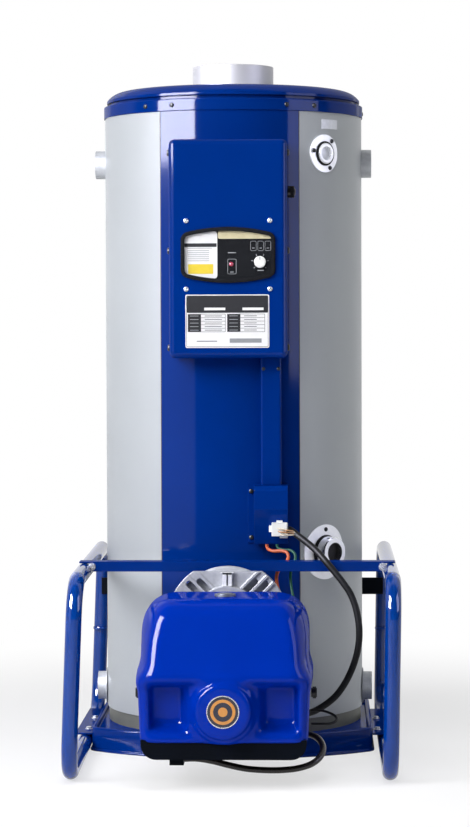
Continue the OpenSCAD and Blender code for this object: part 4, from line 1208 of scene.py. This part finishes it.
@dataclass
class ControlBox:
    """The control box: its window, printed card, dial marks and data plate."""

    face_y: float = -0.300
    panel_y: float = -0.298
    window_z: float = 0.8926
    film: float = 0.0003
    card: Print = Print(57.5, 83, 6, -47.5, 0)
    card_bar: Print = Print(56, 6.4, 1, -48, 17.2)
    card_patch: Print = Print(44, 17, 1, -48, -24.5)
    card_rules: tuple[Rules, ...] = (Rules(-50, 11.8, 44, 0.8), Rules(-52, 7.6, 38, 0.9, 6, 3.55))
    strip: Print = Print(94, 14, 3, 29.5, 35.2)
    switch: Print = Print(15.5, 26.5, 2.6, 6.8, -20.3, 0.6)
    switch_rules: tuple[Rules, ...] = (Rules(6.8, -30, 6, 1.2), Rules(6.8, 3.8, 14, 1.2), Rules(57.2, -27.2, 11, 1.4))
    button: Print = Print(10.5, 17.2, 2.8, 0, 15.5, 0.5)
    button_caption: Rules = Rules(0, 11.8, 4, 1)
    button_x: tuple[float, ...] = (44.5, 57.2, 69.9)
    dial: tuple[float, float] = (0.056, 0.880)
    dial_turn: float = 270.0
    mark_count: int = 6
    mark_reach: float = 0.0138
    mark_size: tuple[float, float] = (0.0008, 0.0034)
    pointer_rise: float = 0.0062
    pointer_size: tuple[float, float, float] = (0.0012, 0.0004, 0.005)
    plate_centre: tuple[float, float] = (-0.0015, 0.7765)
    plate_size: tuple[float, float] = (0.147, 0.0934)
    plate_corner: float = 0.003
    plate_thickness: float = 0.0006
    plate_edge: float = 0.0002
    plate_outline: Print = Print(143.6, 90, 2, 0, 0, 0.7)
    plate_header: Print = Print(142, 29.5, 1.5, 0, 29.5)
    plate_blank: Print = Print(37, 4.6, 0.4, 0, 21.5)
    plate_blank_x: tuple[float, float] = (-22, 45)
    plate_foot: tuple[Print, ...] = (Print(56, 7.5, 0.5, 32, -34), Print(36, 2, 0.5, -36, -35))
    table_x: tuple[float, float] = (-36.5, 32.5)
    table_rules: Rules = Rules(0, 12.5, 66, 0.6, 6, 6.2)
    table_label: Print = Print(22.5, 30.2, 0.4, -21.5, -3)
    label_rules: Rules = Rules(-21.5, 9.3, 15, 0.9, 5, 6.2)
    entry_rules: tuple[Rules, Rules] = (Rules(12, 9.3, 30, 1, 5, 6.2), Rules(8, 9.3, 22, 1, 5, 6.2))
    column_shift: float = -10.0
    column_step: float = 0.043
    column_size: tuple[float, float] = (0.0006, 0.0310)
    face_screw: float = 0.0045
    face_screw_x: float = 0.0735
    face_screw_z: tuple[float, float] = (0.9524, 0.8328)
    side_screw: float = 0.0060
    side_screw_y: float = -0.282
    side_screw_z: tuple[float, ...] = (1.072, 0.9005, 0.730)
    boot_size: tuple[float, float, float] = (0.0125, 0.012, 0.0205)
    boot_out: float = 0.0063
    boot_corner: float = 0.002
    boot_edge: float = 0.001

    def build(self) -> None:
        """Dresses the box and prints its window and plate."""
        dress(BLUE_ENAMEL, "control_box")
        dress(BLACK_ABS, "control_bezel", "side_grommet")
        dress(GLOSS_PANEL, "control_plate")
        dress(WHITE_NYLON, "temperature_dial")
        dress(RED_LENS, "indicator_lamp")
        self._card()
        self._panel()
        self._data_plate()
        self._screws()

    def _rules(self, name: str, ink: Finish, sets: Sequence[Rules], middle: tuple[float, float], y: float) -> None:
        """Prints sets of level rules as one piece.

        Args:
            name: The piece's name.
            ink: The ink.
            sets: The sets of rules.
            middle: X and Z of the sheet's middle.
            y: Place of the printed face.
        """
        piece(name, joined([rules.draw(middle, y, self.film, ink) for rules in sets]), ink)

    def _card(self) -> None:
        """Lays the white card with its dark bar, grey rules and plain yellow patch."""
        y, middle = self.panel_y, (0.0, self.window_z)
        piece("window_card", self.card.lay(middle, y, self.film), CARD)
        y -= self.film
        piece("card_bar", self.card_bar.lay(middle, y, self.film), INK)
        self._rules("card_rules", GREY_INK, self.card_rules, middle, y)
        piece("card_patch", self.card_patch.lay(middle, y, self.film), YELLOW_FILM)

    def _panel(self) -> None:
        """Prints the panel's pale strip, outlines and dial marks."""
        y, middle = self.panel_y, (0.0, self.window_z)
        piece("panel_strip", self.strip.lay(middle, y, self.film), CREAM_FILM)
        buttons = [beside(self.button, x) for x in self.button_x]
        frames = [outline.lay(middle, y, self.film) for outline in (*buttons, self.switch)]
        piece("panel_outlines", joined(frames), PALE_INK)
        captions = [beside(self.button_caption, x) for x in self.button_x]
        self._rules("panel_rules", PALE_INK, (*self.switch_rules, *captions), middle, y)
        width, length = self.mark_size
        marks = MARKS.grow(PALE_INK, Count=self.mark_count, Centre=(self.dial[0], y - self.film / 2, self.dial[1]),
                           Axis=(0.0, 1.0, 0.0), Reach=(0.0, 0.0, self.mark_reach), Bar=(width, self.film, length),
                           First=math.radians(-self.dial_turn / 2),
                           Step=math.radians(self.dial_turn / (self.mark_count - 1)))
        piece("dial_marks", marks, PALE_INK)
        low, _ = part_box("temperature_dial")
        pointer = LINES.grow(GREY_INK, Count=1, Start=(self.dial[0], low.y, self.dial[1] + self.pointer_rise),
                             Step=(0.0, 0.0, 0.0), Bar=self.pointer_size)
        piece("dial_pointer", pointer, GREY_INK, body=Body.DIAL)

    def _data_plate(self) -> None:
        """Makes the ruled plate with its blank dark header."""
        middle, film, y = self.plate_centre, self.film, self.face_y
        plate = front_plate(*self.plate_size, self.plate_corner, self.plate_thickness, middle[0], y, middle[1],
                            self.plate_edge)
        piece("data_plate", plate, CARD)
        y -= self.plate_thickness
        piece("data_plate_outline", self.plate_outline.lay(middle, y, film / 2), INK)
        piece("data_plate_header", self.plate_header.lay(middle, y, film), INK)
        blanks = [beside(self.plate_blank, x).lay(middle, y - film, film) for x in self.plate_blank_x]
        piece("data_plate_blanks", joined(blanks), CARD)
        labels = [beside(self.table_label, x).lay(middle, y, film) for x in self.table_x]
        piece("data_plate_labels", joined(labels), INK)
        sets = [beside(self.table_rules, x) for x in self.table_x]
        sets += [beside(rules, x) for rules, x in zip(self.entry_rules, self.table_x)]
        self._rules("data_plate_rules", INK, sets, middle, y)
        captions = [beside(self.label_rules, x) for x in self.table_x]
        self._rules("data_plate_label_rules", PALE_INK, captions, middle, y - film)
        width, tall = self.column_size
        uprights = [LINES.grow(INK, Count=2, Step=(self.column_step, 0.0, 0.0), Bar=(width, film, tall),
                               Start=(middle[0] + (x + self.column_shift) * MM, y - film / 2,
                                      middle[1] + self.table_label.z * MM)) for x in self.table_x]
        piece("data_plate_columns", joined(uprights), INK)
        piece("data_plate_foot", joined([mark.lay(middle, y, film) for mark in self.plate_foot]), GREY_INK)

    def _screws(self) -> None:
        """Puts screws on the face and on the sides."""
        ahead = Vector((0, -1, 0))
        HEADS.place("face_screws", Head.PAN, BRIGHT_ZINC, self.face_screw,
                    [(Vector((x, self.face_y, z)), ahead)
                     for x in (-self.face_screw_x, self.face_screw_x) for z in self.face_screw_z])
        low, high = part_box("control_box")
        sides = [(Vector((edge, self.side_screw_y, z)), Vector((s, 0, 0)))
                 for s, edge in ((-1, low.x), (1, high.x)) for z in self.side_screw_z]
        HEADS.place("side_screws", Head.PAN, BLACK_OXIDE, self.side_screw, sides)
        near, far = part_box("side_grommet")
        width, deep, tall = self.boot_size
        boot = front_plate(width, tall, self.boot_corner, deep, high.x + self.boot_out, (near.y + far.y + deep) / 2,
                           (near.z + far.z) / 2, self.boot_edge)
        piece("grommet_boot", boot, BLACK_ABS)


@dataclass
class CableRun:
    """The duct, the junction box, the plug and its wires."""

    duct_y: float = -0.254
    sheath: Vector = field(default_factory=lambda: Vector((0.1185, -0.2895, 0.4005)))
    wire_radius: float = 0.0014
    wire_inset: float = 0.001
    wire_rise: tuple[float, float, float] = (0.006, -0.0045, -0.001)
    wire_gather: tuple[float, float, float] = (-0.006, -0.0042, 0.003)
    cream_wires: tuple[tuple[float, float, float], ...] = ((0.46, 0.58, -2.6), (0.62, 0.22, 2.8))
    tan_wires: tuple[tuple[float, float, float], ...] = ((0.50, 0.40, -0.2), (0.78, 0.50, -3.4))
    duct_screw: float = 0.0034
    duct_screw_x: tuple[float, float] = (0.0605, 0.087)
    duct_screw_z: float = 0.692
    flange_x: float = 0.040
    junction_screw: float = 0.0042
    junction_screw_x: float = 0.0377
    junction_screw_z: tuple[float, float] = (0.474, 0.3916)
    plug_corner: float = 0.001
    plug_edge: float = 0.0007
    plug_blocks: tuple[tuple[float, ...], ...] = (
        (0.14, 0.97, 0.12, 0.88, 1.0), (0.0, 0.3, 0.34, 0.70, 0.72), (0.40, 0.72, 0.8, 1.0, 0.82),
        (0.58, 1.0, 0.0, 0.28, 0.78), (0.86, 1.0, 0.40, 0.84, 0.62))

    def build(self) -> None:
        """Dresses the run and adds screws, wires and the plug's housing."""
        dress(BLUE_ENAMEL, "cable_duct", "junction_box")
        self._plug()
        ahead = Vector((0, -1, 0))
        HEADS.place("duct_screws", Head.PAN, BLACK_OXIDE, self.duct_screw,
                    [(Vector((x, self.duct_y, self.duct_screw_z)), ahead) for x in self.duct_screw_x])
        flange = corners("junction_box")
        flange_y = float(flange[flange[:, 0] < self.flange_x][:, 1].min())
        HEADS.place("junction_screws", Head.PAN, BLACK_OXIDE, self.junction_screw,
                    [(Vector((self.junction_screw_x, flange_y, z)), ahead) for z in self.junction_screw_z])
        self._wires("plug_wires_cream", CREAM_PVC, self.cream_wires)
        self._wires("plug_wires_tan", TAN_PVC, self.tan_wires)

    def _wires(self, name: str, finish: Finish, starts: Sequence[tuple[float, float, float]]) -> None:
        """Fans short wires from the plug's front into the cable's sheath.

        Args:
            name: The piece's name.
            finish: Their finish.
            starts: For each wire its start across and up the plug, as shares, and its drop in millimetres.
        """
        low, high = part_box("plug_connector")
        meshes = []
        for across, up, drop in starts:
            start = Vector((low.x + across * (high.x - low.x), low.y + self.wire_inset, low.z + up * (high.z - low.z)))
            x, y, z = self.wire_gather
            near = self.sheath + Vector((x, y, z - drop * MM))
            meshes.append(tube(smooth_line([start, start + Vector(self.wire_rise), near, self.sheath]),
                               self.wire_radius))
        piece(name, joined(meshes), finish)

    def _plug(self) -> None:
        """Moulds the plug as a stepped housing with a tongue, a latch and a foot."""
        low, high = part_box("plug_connector")
        size = high - low
        blocks = []
        for left, right, under, over, deep in self.plug_blocks:
            blocks.append(front_plate(size.x * (right - left), size.z * (over - under), self.plug_corner,
                                      size.y * deep, low.x + size.x * (left + right) / 2, high.y,
                                      low.z + size.z * (under + over) / 2, self.plug_edge))
        piece("plug_housing", joined(blocks), WHITE_NYLON, "plug_connector")


@dataclass
class Burner:
    """The burner's flange, base and moulded hood. The hood's sizes are in millimetres."""

    voxel: float = 2.5
    back: float = 400.0
    top: float = 313.5
    crease: float = 184.0
    front: float = 606.0
    rake: float = 46.0
    base: float = 80.0
    lower_front: float = 592.0
    half_width: float = 144.0
    upper_inset: float = 2.0
    panel_half_top: float = 113.0
    panel_half_crease: float = 128.0
    boss_radius: float = 47.0
    boss_z: float = 135.4
    boss_front: float = 614.0
    pocket_centre: tuple[float, float] = (90.0, 135.5)
    pocket_half: tuple[float, float] = (33.5, 40.5)
    pocket_depth: float = 28.0
    pocket_draft: float = 4.0
    pocket_slope: float = 14.0
    flare: float = 7.0
    flare_step: float = 10.0
    side_taper: float = 0.04
    bevel_foot: tuple[float, float] = (543.0, 246.0)
    bevel_round: float = 16.0
    corner_round: float = 64.0
    top_round: float = 30.0
    back_round: float = 20.0
    crease_round: float = 14.0
    front_round: float = 28.0
    shelf: float = 8.0
    waist_round: float = 26.0
    foot_round: float = 5.0
    boss_root: float = 30.0
    boss_round: float = 8.0
    root_round: float = 4.0
    flare_edge_round: float = 10.0
    flare_round: float = 12.0
    pocket_round: float = 9.0
    pocket_reach: tuple[float, float] = (-0.4, 1.4)
    pocket_side_round: float = 5.0
    pocket_corner_round: float = 10.0
    pocket_floor_round: float = 8.0
    badge_radius: float = 0.0274
    badge_rim: float = 0.0256
    badge_ring: tuple[float, float] = (0.0208, 0.0158)
    badge_dot: float = 0.0078
    badge_film: float = 0.0004
    rib_count: int = 20
    rib_inset: float = 0.0045
    rib_size: tuple[float, float, float] = (0.006, 0.0014, 0.0012)
    margin_voxels: int = 3
    slit_width: float = 0.0022
    slit_share: float = 0.94
    shadow_share: float = 0.72
    shadow_height: float = 0.0020
    shadow_drop: float = 0.0016
    slit_corner: float = 0.0006
    slit_film: float = 0.0008
    slit_sunk: float = 0.0002

    def build(self) -> None:
        """Dresses the burner and moulds its hood."""
        dress(CAST_ALUMINIUM, "burner_flange", "burner_disc")
        dress(NOZZLE_ZINC, "clamp_bolt")
        dress(BLACK_PAINT, "burner_base", "burner_neck")
        dress(CLIP_STEEL, "hood_clip")
        dress(BLACK_ABS, "hood_knobs")
        piece("moulded_hood", self._hood(), HOOD_ABS, "burner_hood")
        self._badge()
        self._clamp_gap()
        self._knob_ribs()

    @staticmethod
    def _meet(a: np.ndarray, b: np.ndarray, blend: float) -> np.ndarray:
        """Returns the field where two forms overlap, with a rounded edge."""
        soft = np.maximum(blend - np.abs(a - b), 0) / blend
        return np.maximum(a, b) + soft * soft * blend / 4

    def _join(self, a: np.ndarray, b: np.ndarray, blend: float) -> np.ndarray:
        """Returns the field of two forms together, with a filleted corner."""
        return -self._meet(-a, -b, blend)

    def _bevel(self, x: np.ndarray, y: np.ndarray, z: np.ndarray) -> np.ndarray:
        """Returns the field of the bevel between the raked panel and the side."""
        side = self.half_width - self.upper_inset
        p = Vector((self.panel_half_top, -(self.front - self.rake), self.top))
        q = Vector((self.panel_half_crease, -self.front, self.crease))
        r = Vector((side, -self.bevel_foot[0], self.bevel_foot[1]))
        out = (q - p).cross(r - p).normalized()
        out *= 1 if out.x > 0 else -1
        return out.x * (np.abs(x) - p.x) + out.y * (y - p.y) + out.z * (z - p.z)

    def _hood(self) -> bpy.types.Mesh:
        """Moulds the hood from blended planes, a round boss and two drafted pockets.

        Returns:
            A closed, smooth mesh.
        """
        margin = self.margin_voxels * self.voxel
        start = np.array((-self.half_width - margin, -self.boss_front - margin, self.base - margin))
        end = np.array((self.half_width + margin, -self.back + margin, self.top + margin))
        counts = np.ceil((end - start) / self.voxel).astype(int)
        x, y, z = np.meshgrid(*(s + self.voxel * np.arange(n) for s, n in zip(start, counts)), indexing="ij")
        distance = self._field(x, y, z)
        grid = openvdb.FloatGrid()
        grid.copyFromArray(distance.astype(np.float32))
        points, quads = grid.convertToQuads(isovalue=0.0)
        points = (points * self.voxel + start) * MM
        form = bmesh.new()
        verts = [form.verts.new(p) for p in points]
        for quad in quads:
            form.faces.new([verts[i] for i in quad])
        return settle(form, crease=180)

    def _field(self, x: np.ndarray, y: np.ndarray, z: np.ndarray) -> np.ndarray:
        """Gives the hood's signed distance, negative inside.

        Args:
            x: Places across.
            y: Places from front to back.
            z: Heights.

        Returns:
            The field at those places.
        """
        meet, join = self._meet, self._join
        wide = np.abs(x)
        rise = self.top - self.crease
        slope = math.hypot(rise, self.rake)
        panel = (-(y + self.front) * rise + (z - self.crease) * self.rake) / slope
        upper = meet(panel, self._bevel(x, y, z), self.bevel_round)
        shell = meet(wide - (self.half_width - self.upper_inset), z - self.top, self.corner_round)
        upper = meet(upper, shell, self.top_round)
        upper = meet(upper, y + self.back, self.back_round)
        upper = meet(upper, self.crease - z, self.crease_round)
        taper = (self.crease - z) * self.side_taper
        lower = meet(wide - self.half_width + taper, -self.lower_front - y, self.front_round)
        lower = meet(lower, y + self.back, self.back_round)
        lower = meet(lower, z - self.crease - self.shelf, self.waist_round)
        lower = meet(lower, self.base - z, self.foot_round)
        hood = join(upper, lower, self.waist_round)
        from_boss = np.hypot(x, z - self.boss_z)
        root = y + self.lower_front - self.boss_root
        flare = meet(from_boss - self.boss_radius - self.flare, self.flare_step - self.boss_front - y,
                     self.flare_edge_round)
        hood = join(hood, meet(flare, root, self.root_round), self.flare_round)
        hood = meet(hood, -self._pocket(wide, y, z), self.pocket_round)
        boss = meet(from_boss - self.boss_radius, -self.boss_front - y, self.boss_round)
        return join(hood, meet(boss, root, self.root_round), self.foot_round)

    def _pocket(self, wide: np.ndarray, y: np.ndarray, z: np.ndarray) -> np.ndarray:
        """Gives the field of a drafted pocket beside the boss.

        Args:
            wide: Distances from the middle.
            y: Places from front to back.
            z: Heights.

        Returns:
            The field, negative inside the pocket.
        """
        meet, (x, middle_z), (half_x, half_z) = self._meet, self.pocket_centre, self.pocket_half
        deep = np.clip((y + self.lower_front) / self.pocket_depth, *self.pocket_reach)
        slope, draft = self.pocket_slope * deep, self.pocket_draft * deep
        across = meet(x - wide - half_x + slope, wide - x - half_x + draft, self.pocket_side_round)
        upright = meet(middle_z - z - half_z + slope, z - middle_z - half_z + draft, self.pocket_side_round)
        walls = meet(across, upright, self.pocket_corner_round)
        return meet(walls, y + self.lower_front - self.pocket_depth, self.pocket_floor_round)

    def _badge(self) -> None:
        """Lays plain rings on the badge: a bright rim, an amber ring and an amber dot."""
        low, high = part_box("hood_badge")
        place = toward(0, 0, low.y, (low.z + high.z) / 2)
        film, sunk, radius = self.badge_film, low.y - high.y, self.badge_radius

        def ring(outer: float, inner: float) -> bpy.types.Mesh:
            """Returns a flat ring on the badge."""
            return loft([circle(outer, 0), circle(outer, film), circle(inner, film), circle(inner, 0)], place, False)

        disc = loft([circle(radius, sunk), circle(radius, -film), circle(radius - film, 0)], place)
        piece("badge_disc", disc, BADGE_NAVY, "hood_badge")
        piece("badge_rim", ring(radius - film, self.badge_rim), BRIGHT_ZINC)
        dot = loft([circle(self.badge_dot, h) for h in (0, film)], place)
        piece("badge_ring", joined([ring(*self.badge_ring), dot]), BADGE_AMBER)

    def _clamp_gap(self) -> None:
        """Marks the flange's split: a dark slit between the clamp's lugs and the shadow under its top."""
        low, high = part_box("clamp_bolt")
        x, width, tall = (low.x + high.x) / 2, high.x - low.x, high.z - low.z
        y = low.y + self.slit_sunk
        slit = [front_plate(self.slit_width, tall * self.slit_share, self.slit_corner, self.slit_film, x, y,
                            low.z + tall / 2),
                front_plate(width * self.shadow_share, self.shadow_height, self.slit_corner, self.slit_film, x, y,
                            high.z - self.shadow_drop)]
        piece("clamp_slit", joined(slit), BLACK_OXIDE)

    def _knob_ribs(self) -> None:
        """Rings the side knobs with grip ribs."""
        low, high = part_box("hood_knobs")
        y, z = (low.y + high.y) / 2, (low.z + high.z) / 2
        radius = (high.z - low.z) / 2
        ribs = [MARKS.grow(BLACK_ABS, Count=self.rib_count, Centre=(x, y, z), Axis=(1.0, 0.0, 0.0),
                           Reach=(0.0, 0.0, radius), Bar=self.rib_size, First=0.0, Step=math.tau / self.rib_count)
                for x in (low.x + self.rib_inset, high.x - self.rib_inset)]
        piece("knob_ribs", joined(ribs), BLACK_ABS)


@dataclass
class Guard:
    """The tube guard, its crossbar, brackets, bolts and welds."""

    bolt_radius: float = 0.0052
    bracket_bolt_x: float = 0.264
    bracket_bolt_y: tuple[float, float] = (-0.125, 0.005)
    bar_bolt_inset: float = 0.022
    bar_bolt_drop: float = 0.009
    leg_back: float = 0.16
    leg_span: tuple[float, float] = (0.12, 0.24)
    weld_z: float = 0.18
    weld_section: tuple[tuple[float, float], ...] = (
        (0.0137, -0.003), (0.0146, -0.0015), (0.0146, 0.0015), (0.0137, 0.003))

    def build(self) -> None:
        """Dresses the guard and bolts it up."""
        dress(TUBE_ENAMEL, "guard_loop_left", "guard_loop_right")
        dress(BLUE_ENAMEL, "guard_crossbar", "tray_brackets")
        dress(BLACK_PAINT, "body_brackets")
        spots = []
        _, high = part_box("tray_brackets")
        for s in (-1, 1):
            spots += [(Vector((s * self.bracket_bolt_x, y, high.z)), Vector((0, 0, 1))) for y in self.bracket_bolt_y]
        bar_low, bar_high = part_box("guard_crossbar")
        spots += [(Vector((x, bar_low.y, bar_high.z - self.bar_bolt_drop)), Vector((0, -1, 0)))
                  for x in (bar_low.x + self.bar_bolt_inset, bar_high.x - self.bar_bolt_inset)]
        HEADS.place("guard_bolts", Head.HEX, BRIGHT_ZINC, self.bolt_radius, spots)
        self._welds()

    def _welds(self) -> None:
        """Lays a weld collar on each rear leg, where the body bracket meets it."""
        meshes = []
        for node in ("guard_loop_left", "guard_loop_right"):
            points = corners(node)
            leg = points[points[:, 1] > self.leg_back]
            low = leg[leg[:, 2] < self.leg_span[0]].mean(axis=0)
            high = leg[leg[:, 2] > self.leg_span[1]].mean(axis=0)
            share = (self.weld_z - low[2]) / (high[2] - low[2])
            centre = Vector(low + (high - low) * share)
            place = Matrix.Translation(centre) @ Vector(high - low).to_track_quat("Z", "Y").to_matrix().to_4x4()
            meshes.append(loft([circle(radius, z) for radius, z in self.weld_section], place))
        piece("leg_welds", joined(meshes), TUBE_ENAMEL)


def main() -> None:
    """Builds every sub-assembly in order."""
    logging.basicConfig(level=logging.INFO, format="%(name)s: %(message)s")
    Studio().build()
    for cord in CORDS:
        cord.build()
    for part in (BodyShell(), BaseTray(), ControlBox(), CableRun(), Burner(), Guard()):
        LOG.info("sub-assembly %s", type(part).__name__)
        part.build()


if __name__ == "__main__":
    main()
